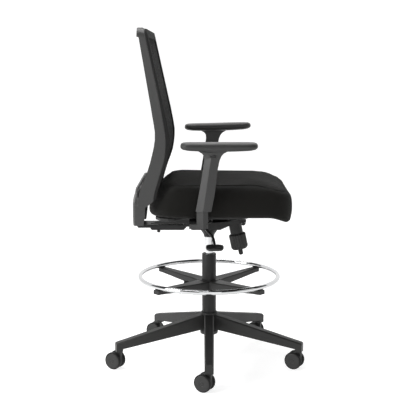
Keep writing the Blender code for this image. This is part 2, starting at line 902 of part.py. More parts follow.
def tension_screw_mesh():
    return turned_mesh("tension_screw", [
        (0.0, 0.046),
        (TENSION_SCREW_RADIUS, 0.046),
        (TENSION_SCREW_RADIUS, -KNOB_LENGTH - GAP),
        (0.0080, -KNOB_LENGTH - GAP),
        (0.0080, -KNOB_LENGTH - 0.018),
        (0.0060, -KNOB_LENGTH - 0.022),
        (0.0, -KNOB_LENGTH - 0.022),
    ], 12)


def tension_spring_mesh():
    """A compression spring round the screw, on the boss's floor."""
    turns = 4
    steps = 14
    wire = 0.0020
    coil = 0.0125
    low = SPRING_SEAT + GAP + wire
    pitch = 0.0085
    sides = 6
    rings = []
    for i in range(turns * steps + 1):
        angle = 2 * math.pi * i / steps
        ring = []
        for across, up in arc((coil, low + pitch * i / steps), wire, 0, 360 - 360 / sides, sides - 1):
            ring.append((across * math.cos(angle), across * math.sin(angle), up))
        rings.append(ring)
    return rings_mesh("tension_spring", rings)


def tube_mesh(name, route, radius, sides):
    """A round bar along a route of points."""
    points = [Vector(point) for point in route]
    rings = []
    for i, point in enumerate(points):
        ahead = points[min(i + 1, len(points) - 1)] - points[max(i - 1, 0)]
        side = ahead.cross(Vector((1, 0, 0))).normalized()
        up = ahead.cross(side).normalized()
        ring = []
        for a, b in arc((0, 0), radius, 0, 360 - 360 / sides, sides - 1):
            ring.append(point + side * a + up * b)
        rings.append(ring)
    return rings_mesh(name, rings)


def height_lever_mesh():
    """The bar from over the valve pin, across the housing's wall and down to the paddle."""
    pivot_x, pivot_y, pivot_z = LEVER_PIVOT
    return tube_mesh("height_lever", [
        (0.0, 0.006, pivot_z),
        (0.001, -0.012, pivot_z),
        (pivot_x, pivot_y + 0.010, pivot_z),
        (pivot_x + 0.001, pivot_y - 0.012, pivot_z - 0.001),
    ] + LEVER_DROP, LEVER_RADIUS, 10)


def height_lever_paddle_mesh():
    """The grip: flat on top, curved underneath, with a socket for the bar."""
    top = 0.4600
    drop = 0.0115
    centre = 0.0185
    stations = [(-0.1830, 0.55), (-0.1930, 0.85), (-0.2200, 1.0), (-0.2500, 0.90), (-0.2570, 0.55)]
    rings = []
    for reach, share in stations:
        half = 0.0295 * share
        depth = drop * share
        rings.append([
            (centre - half, reach, top - 0.002),
            (centre - half * 0.88, reach, top),
            (centre + half * 0.88, reach, top),
            (centre + half, reach, top - 0.002),
            (centre + half * 0.95, reach, top - depth * 0.62),
            (centre + half * 0.55, reach, top - depth),
            (centre - half * 0.55, reach, top - depth),
            (centre - half * 0.95, reach, top - depth * 0.62),
        ])
    grip = rings_mesh("height_lever_paddle", rings)
    end = Vector(LEVER_DROP[-1]) + Vector((0, -GAP, 0))
    socket = tube_mesh("lever_socket", LEVER_DROP[:-1] + [end], LEVER_RADIUS + GAP, 10)
    return combined(grip, [socket], "DIFFERENCE")


def add_mechanism(axis, seat_tilt, lever_pivot, knob):
    place("tilt_housing", tilt_housing_mesh(), black_steel(), axis)
    back_pin = pin_mesh("back_axle", BACK_PIN_RADIUS, HOUSING_HALF + 0.0040, BACK_PIVOT)
    seat_pin = pin_mesh("seat_axle", SEAT_PIN_RADIUS, HOUSING_HALF + 0.0095, SEAT_PIVOT)
    place("back_axle", back_pin, bright_steel(), axis)
    place("seat_axle", seat_pin, bright_steel(), axis)
    place("tension_spring", tension_spring_mesh(), bright_steel(), knob)
    place("tension_screw", tension_screw_mesh(), black_steel(), knob)
    place("tension_knob", tension_knob_mesh(), black_nylon(), knob)
    place_at("seat_plate", seat_plate_mesh(), black_steel(), seat_tilt, (SEAT_PIVOT[0], 0, SEAT_PIVOT[1]))
    place_at("height_lever", height_lever_mesh(), black_steel(), lever_pivot, LEVER_PIVOT)
    place_at("height_lever_paddle", height_lever_paddle_mesh(), black_nylon(), lever_pivot, LEVER_PIVOT)


# Seat

def seat_outline(inset):
    """The seat in plan: tighter corners in front and wide round ones behind."""
    rear = CUSHION_REAR + inset
    front = CUSHION_FRONT - inset
    half = CUSHION_HALF - inset
    front_corner = max(0.075 - inset, 0.012)
    rear_corner = max(0.100 - inset, 0.012)
    outline = arc((front - front_corner, half - front_corner), front_corner, 0, 90, 5)
    outline += arc((rear + rear_corner, half - rear_corner), rear_corner, 90, 180, 5)
    outline += arc((rear + rear_corner, -half + rear_corner), rear_corner, 180, 270, 5)
    outline += arc((front - front_corner, -half + front_corner), front_corner, 270, 360, 5)
    return outline


def seat_pan_mesh():
    """The moulded pan, wide at the back and narrower ahead of the arm brackets."""
    right_side = [
        (-0.1780, 0.0),
        (-0.1780, -0.1800),
        (-0.1600, -0.2140),
        (-0.1350, -0.2220),
        (-0.1150, -0.2150),
        (-0.0900, -0.1820),
        (0.1100, -0.1820),
        (0.1400, -0.1520),
        (0.1400, 0.0),
    ]
    left_side = [(x, -y) for x, y in right_side[-2:0:-1]]
    return prism_mesh("seat_pan", right_side + left_side, PAN_BOTTOM, PAN_TOP, "Z")


def cushion_ring(inset, height, front_drop, rear_lean, drop_start=0.150):
    """One level of the cushion. Its front end drops, and its rear leans in towards the top."""
    ring = []
    for x, y in seat_outline(inset):
        forward = smoothstep((x - drop_start) / (CUSHION_FRONT - drop_start))
        rearward = smoothstep((-0.080 - x) / 0.120)
        ring.append((x + rear_lean * rearward, y, height - front_drop * forward))
    return ring


def seat_cushion_mesh():
    return rings_mesh("seat_cushion", [
        cushion_ring(0.062, CUSHION_BOTTOM, 0.0, 0.0),
        cushion_ring(0.018, CUSHION_BOTTOM, 0.022, 0.004, LIP_START),
        cushion_ring(0.005, CUSHION_BOTTOM + 0.008, 0.021, 0.0, LIP_START),
        cushion_ring(0.000, CUSHION_BOTTOM + 0.030, 0.010, 0.0, LIP_START),
        cushion_ring(0.001, CUSHION_BOTTOM + 0.066, 0.010, 0.016),
        cushion_ring(0.005, SEAM_HEIGHT - 0.006, 0.021, 0.042),
        cushion_ring(0.014, SEAM_HEIGHT + 0.002, 0.024, 0.046),
        cushion_ring(0.050, SEAM_HEIGHT + 0.0105, 0.018, 0.036),
        cushion_ring(0.110, CROWN_HEIGHT, 0.0, 0.0),
    ])


def add_seat(seat_tilt):
    pivot = (SEAT_PIVOT[0], 0, SEAT_PIVOT[1])
    place_at("seat_pan", seat_pan_mesh(), black_nylon(), seat_tilt, pivot)
    place_at("seat_cushion", seat_cushion_mesh(), seat_fabric(), seat_tilt, pivot)


# Arms. Each piece is drawn for the left side and mirrored for the right.

def leaning_box_mesh(name, half_x, half_y, low, high):
    """A bar along the arm's leaning axis, between two heights above its foot."""
    bar = box_mesh(name, (-half_x, -half_y, low), (half_x, half_y, high))
    bar.transform(Matrix.Translation(ARM_FOOT) @ Matrix.Rotation(ARM_LEAN, 4, "Y"))
    return bar


def arm_upright_mesh():
    return leaning_box_mesh("arm_upright", UPRIGHT_HALF_X, UPRIGHT_HALF_Y, -0.036, 0.150)


def arm_bracket_mesh():
    """The foot that bolts under the seat pan, with a socket for the upright outside the seat."""
    low = 0.5285
    foot = box_mesh("arm_bracket", (-0.065, 0.100, low), (-0.004, 0.2750, PAN_BOTTOM - GAP))
    socket = prism_mesh("socket", [
        (-0.0405, ARM_INNER),
        (-0.0035, ARM_INNER),
        (-0.0035, ARM_EDGE),
        (-0.0190, 0.2815),
        (-0.0405, ARM_EDGE),
    ], low, ARM_FOOT[2] - GAP, "Z")
    shape = combined(foot, [socket], "UNION")
    hole = leaning_box_mesh("upright_hole", UPRIGHT_HALF_X + GAP, UPRIGHT_HALF_Y + GAP, -0.0363, 0.020)
    return combined(shape, [hole], "DIFFERENCE")


def arm_sleeve_mesh():
    """The sleeve that slides on the upright, with a head that spreads under the pad."""
    sections = [
        (ARM_FOOT[2] + GAP, -0.0436, -0.0198, 0.0068),
        (0.6395, -0.0335, -0.0110, 0.0176),
        (0.7226, -0.0197, 0.0005, 0.0277),
        (0.7500, -0.0158, 0.0050, 0.0335),
        (0.7640, -0.0170, 0.0080, 0.0395),
        (0.7715, -0.0225, 0.0100, 0.0465),
        (0.7785, -0.0345, 0.0110, 0.0590),
    ]
    rings = []
    for height, rear, ridge, front in sections:
        rings.append([
            (rear, ARM_INNER, height),
            (front, ARM_INNER, height),
            (front, ARM_EDGE, height),
            (ridge, ARM_RIDGE, height),
            (rear, ARM_EDGE, height),
        ])
    sleeve = rings_mesh("arm_sleeve", rings)
    bore = leaning_box_mesh("sleeve_bore", UPRIGHT_HALF_X + GAP, UPRIGHT_HALF_Y + GAP, -0.020, 0.158)
    slot = box_mesh("button_slot", (0.0027, 0.2735, 0.7597), (0.0223, 0.300, 0.7663))
    return combined(sleeve, [bore, slot], "DIFFERENCE")


def arm_button_mesh():
    return box_mesh("arm_button", (0.0030, 0.2765, 0.7600), (0.0220, 0.2832, 0.7660))


def pad_ring(inset, height, rise):
    """One level of the arm pad. Its ends lift by the rise, so the pad is a lens from the side."""
    centre_x, centre_y = PAD_CENTRE
    half_x = PAD_HALF_LENGTH - inset
    half_y = PAD_HALF_WIDTH - inset
    outline = rounded_box_outline((-half_x, -half_y), (half_x, half_y), half_y * 0.8, 5)
    ring = []
    for x, y in outline:
        lift = rise * (x / PAD_HALF_LENGTH) ** 2
        ring.append((centre_x + x, centre_y + y, height + lift))
    return ring


def arm_pad_mesh():
    underside = 0.7788
    return rings_mesh("arm_pad", [
        pad_ring(0.012, underside, 0.0075),
        pad_ring(0.003, underside + 0.0060, 0.0070),
        pad_ring(0.000, underside + 0.0150, 0.0040),
        pad_ring(0.003, PAD_TOP - 0.0060, 0.0),
        pad_ring(0.012, PAD_TOP, 0.0),
    ])


def add_arm(side, seat_tilt):
    """One arm. The left one stands higher on its upright than the right one."""
    pivot = Vector((SEAT_PIVOT[0], 0, SEAT_PIVOT[1]))
    raise_by = LEFT_ARM_RAISE if side == "left" else 0.0
    lift = Matrix.Translation((raise_by * math.tan(ARM_LEAN), 0, raise_by))
    foot = Vector(ARM_FOOT)
    if side == "right":
        foot.y = -foot.y
    slide = empty(f"arm_slide_{side}", seat_tilt, foot - pivot)

    def piece(name, mesh, look, parent, origin):
        shape = mesh if side == "left" else mirrored(mesh)
        place_at(f"{name}_{side}", shape, look, parent, origin)

    piece("arm_bracket", arm_bracket_mesh(), black_steel(), seat_tilt, pivot)
    piece("arm_upright", arm_upright_mesh(), bright_steel(), seat_tilt, pivot)
    piece("arm_sleeve", moved(arm_sleeve_mesh(), lift), grey_plastic(), slide, foot)
    piece("arm_pad", moved(arm_pad_mesh(), lift), pad_foam(), slide, foot)
    piece("arm_button", moved(arm_button_mesh(), lift), black_nylon(), slide, foot)


# Back

def heights(low, high, steps):
    return [low + (high - low) * i / steps for i in range(steps + 1)]


def frame_outline():
    """The frame from the side: slanted at its foot, stepped and hooked rearward at its top."""
    front_foot = 0.619
    rear_foot = 0.588
    hook_foot = BACK_TOP - TOP_RAIL
    step_top = BACK_TOP - BACK_TOP_STEP
    front = [(curve_through(BACK_FRONT_CURVE, z), z) for z in heights(front_foot, step_top, 22)]
    rear = [(curve_through(BACK_REAR_CURVE, z), z) for z in heights(rear_foot, hook_foot, 22)]
    hook_x = rear[-1][0] - BACK_HOOK
    step_x = front[-1][0] - 0.011
    top = [(step_x, step_top), (step_x - 0.002, BACK_TOP), (hook_x + 0.002, BACK_TOP)]
    hook = [(hook_x, BACK_TOP - 0.002), (hook_x, hook_foot + 0.001)]
    foot = [(-0.2060, 0.5920), (-0.1906, 0.6048)]
    return front + top + hook + rear[::-1] + foot


def sheet_outline(setback, thickness, low, high, steps):
    """A thin sheet that follows the front curve."""
    front = [(curve_through(BACK_FRONT_CURVE, z) - setback, z) for z in heights(low, high, steps)]
    return front + [(x - thickness, z) for x, z in front[::-1]]


def back_frame_mesh():
    """Two uprights with a top and a lower rail, cut from one curved slab."""
    inner = BACK_HALF - UPRIGHT_THICKNESS
    slab = prism_mesh("back_frame", frame_outline(), -BACK_HALF, BACK_HALF)
    envelope = prism_mesh("envelope", rounded_box_outline(
        (-BACK_HALF, 0.2), (BACK_HALF, BACK_TOP), 0.035, 4), -0.5, 0.1, "X")
    window = prism_mesh("window", rounded_box_outline(
        (-inner, LOWER_RAIL_TOP), (inner, BACK_TOP - TOP_RAIL), 0.022, 3), -0.5, 0.1, "X")
    below = prism_mesh("below", rounded_box_outline(
        (-inner, 0.3), (inner, LOWER_RAIL_BOTTOM), 0.015, 2), -0.5, 0.1, "X")
    slab = combined(slab, [envelope], "INTERSECT")
    return combined(slab, [window, below], "DIFFERENCE")


def back_mesh_mesh():
    """The stretched fabric, a thin curved sheet in the frame's window."""
    inner = BACK_HALF - UPRIGHT_THICKNESS - GAP
    low = LOWER_RAIL_TOP + GAP
    high = BACK_TOP - TOP_RAIL - GAP
    sheet = prism_mesh("back_mesh", sheet_outline(
        MESH_SETBACK, MESH_THICKNESS, low - 0.01, high + 0.01, 16), -BACK_HALF, BACK_HALF)
    corner = 0.0217
    outline = prism_mesh("mesh_outline", rounded_box_outline(
        (-inner, low), (inner, high), corner, 3), -0.5, 0.1, "X")
    return combined(sheet, [outline], "INTERSECT")


def back_bar_mesh():
    """The steel bar from the tilt housing back under the seat and up into the carrier."""
    bar = prism_mesh("back_bar", [
        (-0.0335, 0.4985),
        (-0.0335, 0.5105),
        (-0.0380, 0.5145),
        (-0.0760, 0.5145),
        (-0.0900, 0.5010),
        (-0.2350, 0.5010),
        (-0.2410, 0.5080),
        (-0.2410, 0.5850),
        (-0.2535, 0.5850),
        (-0.2550, 0.5020),
        (-0.2460, 0.4905),
        (-0.2050, 0.4905),
        (-0.2000, 0.4825),
        (-0.0880, 0.4825),
        (-0.0780, 0.4945),
        (-0.0380, 0.4945),
    ], -BAR_HALF, BAR_HALF)
    hole = pin_mesh("hole", BACK_PIN_RADIUS + GAP, 0.1, BACK_PIVOT)
    return combined(bar, [hole], "DIFFERENCE")


def back_carrier_mesh():
    """A shell that joins the bar to both uprights: a flanged post that spreads into a yoke."""
    sections = [
        (0.5020, 0.072, -0.2618, -0.2260),
        (0.5150, 0.076, -0.2625, -0.2240),
        (0.5600, 0.084, -0.2620, -0.2190),
        (0.5850, 0.100, -0.2605, -0.2200),
        (0.6030, 0.140, -0.2560, -0.2350),
        (0.6200, 0.185, -0.2500, -0.2370),
        (0.6380, 0.2165, -0.2430, -0.2350),
        (0.6535, 0.2165, -0.2400, -0.2325),
    ]
    rings = []
    for height, half, rear, front in sections:
        rings.append([
            (rear, -half + 0.010, height),
            (rear, half - 0.010, height),
            (rear + CARRIER_WALL, half, height),
            (front, half, height),
            (front, half - CARRIER_WALL, height),
            (rear + CARRIER_WALL, half - CARRIER_WALL - 0.004, height),
            (rear + CARRIER_WALL, -half + CARRIER_WALL + 0.004, height),
            (front, -half + CARRIER_WALL, height),
            (front, -half, height),
            (rear + CARRIER_WALL, -half, height),
        ])
    return rings_mesh("back_carrier", rings)


def add_back(back_tilt):
    pivot = (BACK_PIVOT[0], 0, BACK_PIVOT[1])
    place_at("back_bar", back_bar_mesh(), black_steel(), back_tilt, pivot)
    place_at("back_carrier", back_carrier_mesh(), grey_plastic(), back_tilt, pivot)
    place_at("back_frame", back_frame_mesh(), grey_plastic(), back_tilt, pivot)
    place_at("back_mesh", back_mesh_mesh(), mesh_fabric(), back_tilt, pivot)


def build():
    clear_scene()
    axis = empty("column_axis", None, (AXIS_X, AXIS_Y, 0))
    seat_tilt = empty("seat_tilt", axis, (SEAT_PIVOT[0], 0, SEAT_PIVOT[1]))
    back_tilt = empty("back_tilt", axis, (BACK_PIVOT[0], 0, BACK_PIVOT[1]))
    lever_pivot = empty("lever_pivot", axis, LEVER_PIVOT)
    knob = empty("knob_axis", axis, KNOB_TOP)
    knob.rotation_euler = (0, -math.radians(KNOB_LEAN), 0)
    add_base(axis)
    add_casters(axis)
    add_column(axis)
    add_foot_ring(axis)
    add_mechanism(axis, seat_tilt, lever_pivot, knob)
    add_seat(seat_tilt)
    for side in ("left", "right"):
        add_arm(side, seat_tilt)
    add_back(back_tilt)


build()
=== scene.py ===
import json
import math

import bmesh
import bpy
import numpy as np
from mathutils import Matrix, Vector
from mathutils.bvhtree import BVHTree

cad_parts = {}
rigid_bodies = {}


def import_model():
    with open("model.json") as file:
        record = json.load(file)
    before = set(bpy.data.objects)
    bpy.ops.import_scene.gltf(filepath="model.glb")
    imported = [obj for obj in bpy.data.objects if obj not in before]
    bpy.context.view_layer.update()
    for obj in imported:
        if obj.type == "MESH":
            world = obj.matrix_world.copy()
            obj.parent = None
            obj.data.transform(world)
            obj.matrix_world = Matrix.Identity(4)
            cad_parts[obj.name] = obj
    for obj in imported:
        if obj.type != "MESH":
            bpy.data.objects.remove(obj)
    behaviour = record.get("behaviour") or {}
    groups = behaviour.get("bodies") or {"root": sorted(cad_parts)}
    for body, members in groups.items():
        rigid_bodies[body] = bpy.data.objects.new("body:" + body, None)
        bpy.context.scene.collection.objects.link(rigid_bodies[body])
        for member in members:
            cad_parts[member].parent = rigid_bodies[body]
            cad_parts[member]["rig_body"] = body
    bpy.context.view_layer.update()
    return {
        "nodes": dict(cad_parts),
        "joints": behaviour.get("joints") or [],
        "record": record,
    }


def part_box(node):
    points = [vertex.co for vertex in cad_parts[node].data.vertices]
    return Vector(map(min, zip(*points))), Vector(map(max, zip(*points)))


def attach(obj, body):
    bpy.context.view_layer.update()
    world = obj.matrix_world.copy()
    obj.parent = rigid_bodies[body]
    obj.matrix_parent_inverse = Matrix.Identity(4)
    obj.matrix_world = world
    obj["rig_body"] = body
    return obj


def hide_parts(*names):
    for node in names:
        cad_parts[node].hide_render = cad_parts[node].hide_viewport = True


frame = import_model()


# The room: a wide pale floor that sweeps up behind, pale walls under a dark ceiling, soft lamps
# and the camera. None of it belongs to the chair, which is measured from its column's axis.

tube_low, tube_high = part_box("column_tube")
AXIS = Vector(((tube_low.x + tube_high.x) / 2, (tube_low.y + tube_high.y) / 2, 0.0))

CAMERA_PLACE = Vector((-0.0038, -3.1623, 1.0573))
CAMERA_DIP = 0.158
LAMPS_AIM_AT = Vector((0.0, 0.0, 0.6))


def add_object(name, data):
    made = bpy.data.objects.new(name, data)
    bpy.context.scene.collection.objects.link(made)
    return made


camera_data = bpy.data.cameras.new("camera")
camera_data.lens = 78.77
camera_data.sensor_width = 36.0
camera = add_object("camera", camera_data)
camera.location = AXIS + CAMERA_PLACE
camera.rotation_euler = (math.pi / 2 - CAMERA_DIP, 0.0, 0.0)
bpy.context.scene.camera = camera
bpy.context.scene.view_settings.view_transform = "Standard"


def soft_lamp(name, place, size, power):
    """A square soft lamp that faces the middle of the chair."""
    data = bpy.data.lights.new(name, "AREA")
    data.size = size
    data.energy = power
    lamp = add_object(name, data)
    lamp.location = place
    aim = AXIS + LAMPS_AIM_AT - lamp.location
    lamp.rotation_euler = aim.to_track_quat("-Z", "Y").to_euler()


soft_lamp("lamp_rear_side", Vector((-3.3, -1.8, 2.0)), 1.6, 125)
soft_lamp("lamp_front_side", Vector((3.4, -1.6, 2.2)), 2.0, 8)
soft_lamp("lamp_behind_camera", Vector((0.2, -4.8, 2.1)), 3.0, 30)
soft_lamp("lamp_above", Vector((-0.7, 0.3, 3.4)), 2.2, 95)

PALE_WALLS = 0.90
DARK_CEILING = 0.05
WALL_TOP = 0.20
CEILING_FROM = 0.32


def add_node(tree, kind, values=None):
    """A new node with its named inputs set."""
    made = tree.nodes.new(kind)
    for label, value in (values or {}).items():
        made.inputs[label].default_value = value
    return made


room = bpy.data.worlds.new("room")
room.use_nodes = True
room_light = room.node_tree.nodes["Background"]
room_light.inputs["Color"].default_value = (1.0, 1.0, 1.0, 1.0)
towards = add_node(room.node_tree, "ShaderNodeTexCoord")
parts = add_node(room.node_tree, "ShaderNodeSeparateXYZ")
fade = add_node(room.node_tree, "ShaderNodeMapRange", {
    "From Min": WALL_TOP, "From Max": CEILING_FROM, "To Min": PALE_WALLS, "To Max": DARK_CEILING})
room.node_tree.links.new(towards.outputs["Generated"], parts.inputs["Vector"])
room.node_tree.links.new(parts.outputs["Z"], fade.inputs["Value"])
room.node_tree.links.new(fade.outputs["Result"], room_light.inputs["Strength"])
bpy.context.scene.world = room


def surface(name, colour, roughness, metallic=0.0, gleam=0.5, patch=14.0, shade=0.12,
            grain=650.0, relief=0.25, depth=0.0003, spread=0.05, stretch=(1.0, 1.0, 1.0)):
    """A finish with soft patches in its colour and gloss, and a fine grain in its relief."""
    made = bpy.data.materials.new(name)
    made.use_nodes = True
    tree = made.node_tree
    shader = tree.nodes["Principled BSDF"]
    shader.inputs["Metallic"].default_value = metallic
    shader.inputs["Specular IOR Level"].default_value = gleam
    coords = add_node(tree, "ShaderNodeTexCoord")
    along = add_node(tree, "ShaderNodeMapping", {"Scale": stretch})
    clouds = add_node(tree, "ShaderNodeTexNoise", {"Scale": patch, "Detail": 5.0})
    tint = add_node(tree, "ShaderNodeMix")
    tint.data_type = "RGBA"
    tint.inputs[6].default_value = (*[part * (1 - shade) for part in colour], 1.0)
    tint.inputs[7].default_value = (*[part * (1 + shade) for part in colour], 1.0)
    gloss = add_node(tree, "ShaderNodeMapRange", {
        "From Min": 0.3, "From Max": 0.7,
        "To Min": roughness - spread, "To Max": roughness + spread})
    fine = add_node(tree, "ShaderNodeTexNoise", {"Scale": grain, "Detail": 3.0})
    bump = add_node(tree, "ShaderNodeBump", {"Strength": relief, "Distance": depth})
    link = tree.links.new
    link(coords.outputs["Object"], along.inputs["Vector"])
    link(coords.outputs["Object"], clouds.inputs["Vector"])
    link(along.outputs["Vector"], fine.inputs["Vector"])
    link(clouds.outputs["Fac"], tint.inputs[0])
    link(clouds.outputs["Fac"], gloss.inputs["Value"])
    link(tint.outputs[2], shader.inputs["Base Color"])
    link(gloss.outputs["Result"], shader.inputs["Roughness"])
    link(fine.outputs["Fac"], bump.inputs["Height"])
    link(bump.outputs["Normal"], shader.inputs["Normal"])
    return made


def backdrop_paper():
    """White paper that is lit from behind a little, so that it stays white in the shade."""
    made = surface("backdrop_paper", (0.5, 0.5, 0.5), 0.8, gleam=0.0, patch=2.0,
                   shade=0.01, relief=0.02)
    shader = made.node_tree.nodes["Principled BSDF"]
    shader.inputs["Emission Color"].default_value = (1.0, 1.0, 1.0, 1.0)
    shader.inputs["Emission Strength"].default_value = 0.78
    return made


BACKDROP_NEAR = -30.0
BACKDROP_FAR = 6.0
BACKDROP_BEND = 3.0
BACKDROP_TOP = 12.0
BACKDROP_HALF = 30.0
BEND_STEPS = 24
sweep = [(BACKDROP_NEAR, 0.0)]
for step in range(BEND_STEPS + 1):
    turn = math.radians(90 * step / BEND_STEPS)
    sweep.append((BACKDROP_FAR + BACKDROP_BEND * math.sin(turn),
                  BACKDROP_BEND * (1 - math.cos(turn))))
sweep.append((BACKDROP_FAR + BACKDROP_BEND, BACKDROP_TOP))
floor_mesh = bpy.data.meshes.new("floor")
floor_mesh.from_pydata(
    [(x, y, z) for y, z in sweep for x in (-BACKDROP_HALF, BACKDROP_HALF)], [],
    [(2 * i, 2 * i + 1, 2 * i + 3, 2 * i + 2) for i in range(len(sweep) - 1)])
floor_mesh.shade_smooth()
floor_mesh.materials.append(backdrop_paper())
floor = add_object("floor", floor_mesh)


# Casters. A steel stem grips the leg, and a black nylon body turns on it.
# Two wheels run on a steel pin through the body: a hard grey disc in a softer black tread.

CASTERS = range(1, 6)
nodes = frame["nodes"]
joints = {joint["name"]: joint for joint in frame["joints"]}
slot_of = {row["node"]: row["material_slot"] for row in frame["record"]["subparts"]}


def black_nylon():
    return surface("black_nylon", (0.0165, 0.0165, 0.0160), 0.48, gleam=0.32, grain=900.0,
                   relief=0.3)


def wheel_plastic():
    return surface("wheel_plastic", (0.022, 0.022, 0.0215), 0.45, gleam=0.35, grain=1200.0,
                   relief=0.12)


def tread_rubber():
    return surface("tread_rubber", (0.008, 0.008, 0.008), 0.62, gleam=0.25, grain=500.0, relief=0.4)


def zinc_steel():
    return surface("zinc_steel", (0.52, 0.52, 0.53), 0.30, 1.0, patch=40.0, grain=500.0,
                   relief=0.15, stretch=(1.0, 1.0, 6.0))


def fit(name, mesh, finish, body, slot, *stands_for):
    """Make a piece from a mesh, hang it on its body and let it stand for its plain nodes."""
    mesh.materials.clear()
    mesh.materials.append(finish)
    piece = add_object(name, mesh)
    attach(piece, body)
    if stands_for:
        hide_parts(*stands_for)
    return piece


def carry(node, finish):
    """A node whose shape is right keeps it and takes its finish."""
    for held in nodes[node].material_slots:
        held.material = finish


def smoothed(mesh, sharp=32):
    mesh.shade_smooth()
    mesh.set_sharp_from_angle(angle=math.radians(sharp))
    return mesh


WELD = 2e-6
FLAT_ANGLE = math.radians(0.8)


def merged(node):
    """A node's shape as a bmesh, with its loose triangles joined into whole faces."""
    bm = bmesh.new()
    bm.from_mesh(nodes[node].data)
    bmesh.ops.remove_doubles(bm, verts=bm.verts, dist=WELD)
    bmesh.ops.dissolve_limit(bm, angle_limit=FLAT_ANGLE, verts=bm.verts, edges=bm.edges)
    return bm


def mesh_of(bm, name):
    """A new mesh from a bmesh, which is then finished with."""
    mesh = bpy.data.meshes.new(name)
    bm.to_mesh(mesh)
    bm.free()
    return mesh


def eased(bm, edge, steps=2, corner=26):
    """Round every edge that is sharper than a corner angle."""
    sharp = [e for e in bm.edges if e.is_manifold and e.calc_face_angle(0.0) > math.radians(corner)]
    bmesh.ops.bevel(bm, geom=sharp, offset=edge, offset_type="OFFSET", segments=steps,
                    profile=0.5, affect="EDGES", clamp_overlap=True)
    return smoothed(mesh_of(bm, "eased"))


def level_shading(piece):
    """Keep flat faces flat beside their rounded edges."""
    even = piece.modifiers.new("even", "WEIGHTED_NORMAL")
    even.keep_sharp = True
    return piece


def dressed(name, node, finish, edge, steps=2):
    """A piece with a node's own shape, its edges rounded as moulding or pressing leaves them."""
    shape = eased(merged(node), edge, steps)
    return level_shading(fit(name, shape, finish, nodes[node]["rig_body"], slot_of[node], node))


def turned(name, profile, sides=64, closed=False):
    """A mesh turned round Z from (radius, height) points, each point on the axis a pole."""
    bm = bmesh.new()
    rings = []
    for radius, height in profile:
        count = sides if radius > 1e-6 else 1
        rings.append([bm.verts.new((
            radius * math.cos(2 * math.pi * i / sides),
            radius * math.sin(2 * math.pi * i / sides),
            height,
        )) for i in range(count)])
    pairs = list(zip(rings, rings[1:]))
    if closed:
        pairs.append((rings[-1], rings[0]))
    for a, b in pairs:
        for i in range(sides):
            j = (i + 1) % sides
            corners = [a[i % len(a)], a[j % len(a)], b[j % len(b)], b[i % len(b)]]
            bm.faces.new(list(dict.fromkeys(corners)))
    bmesh.ops.recalc_face_normals(bm, faces=bm.faces)
    return smoothed(mesh_of(bm, name))


def rounded(points, radius, steps=4):
    """A run of points with its inner corners rounded, as far as the runs beside them allow."""
    made = [Vector(points[0])]
    for before, here, after in zip(points, points[1:], points[2:]):
        before, here, after = Vector(before), Vector(here), Vector(after)
        reach = min(radius, (before - here).length * 0.45, (after - here).length * 0.45)
        start = here + (before - here).normalized() * reach
        end = here + (after - here).normalized() * reach
        for i in range(steps + 1):
            t = i / steps
            made.append(start * (1 - t) ** 2 + here * 2 * t * (1 - t) + end * t ** 2)
    made.append(Vector(points[-1]))
    return [tuple(point) for point in made]


def placed(mesh, place, axis):
    """Turn a mesh from +Z to an axis and move it to a place."""
    turn = Vector((0, 0, 1)).rotation_difference(Vector(axis)).to_matrix().to_4x4()
    mesh.transform(Matrix.Translation(Vector(place)) @ turn)
    return mesh


nylon = black_nylon()
zinc = zinc_steel()
disc_finish = wheel_plastic()
tread_finish = tread_rubber()

WHEEL_RADIUS = joints["wheel_spin_left_1"]["pos_m"][2]
WHEEL_FACE = 0.0216
WHEEL_BACK = 0.0076
TREAD_INNER = WHEEL_RADIUS - 0.0034
AXLE_BORE = 0.0034
AXLE_BORE_END = 0.0182
BORE_EDGE = 0.0010
BORE_ROOM = 0.0003


def wheel_disc_profile():
    """The disc from the middle of its outer face round to its blind bore."""
    return rounded([
        (0.0, WHEEL_FACE + 0.0003),
        (0.0066, WHEEL_FACE + 0.0003),
        (0.0070, WHEEL_FACE - 0.0006),
        (0.0080, WHEEL_FACE - 0.0006),
        (0.0086, WHEEL_FACE),
        (TREAD_INNER - 0.0022, WHEEL_FACE),
        (TREAD_INNER - 0.0002, WHEEL_FACE - 0.0014),
        (TREAD_INNER - 0.0002, WHEEL_BACK + 0.0010),
        (TREAD_INNER - 0.0030, WHEEL_BACK + 0.0003),
        (AXLE_BORE, WHEEL_BACK + 0.0003),
        (AXLE_BORE, AXLE_BORE_END),
        (0.0, AXLE_BORE_END),
    ], 0.0006, 2)


def tread_profile():
    return rounded([
        (TREAD_INNER, 0.0140),
        (TREAD_INNER, WHEEL_FACE - 0.0012),
        (WHEEL_RADIUS - 0.0018, WHEEL_FACE - 0.0008),
        (WHEEL_RADIUS, WHEEL_FACE - 0.0036),
        (WHEEL_RADIUS, WHEEL_BACK + 0.0036),
        (WHEEL_RADIUS - 0.0018, WHEEL_BACK + 0.0008),
        (TREAD_INNER, WHEEL_BACK + 0.0012),
        (TREAD_INNER, 0.0130),
    ], 0.0012, 3)


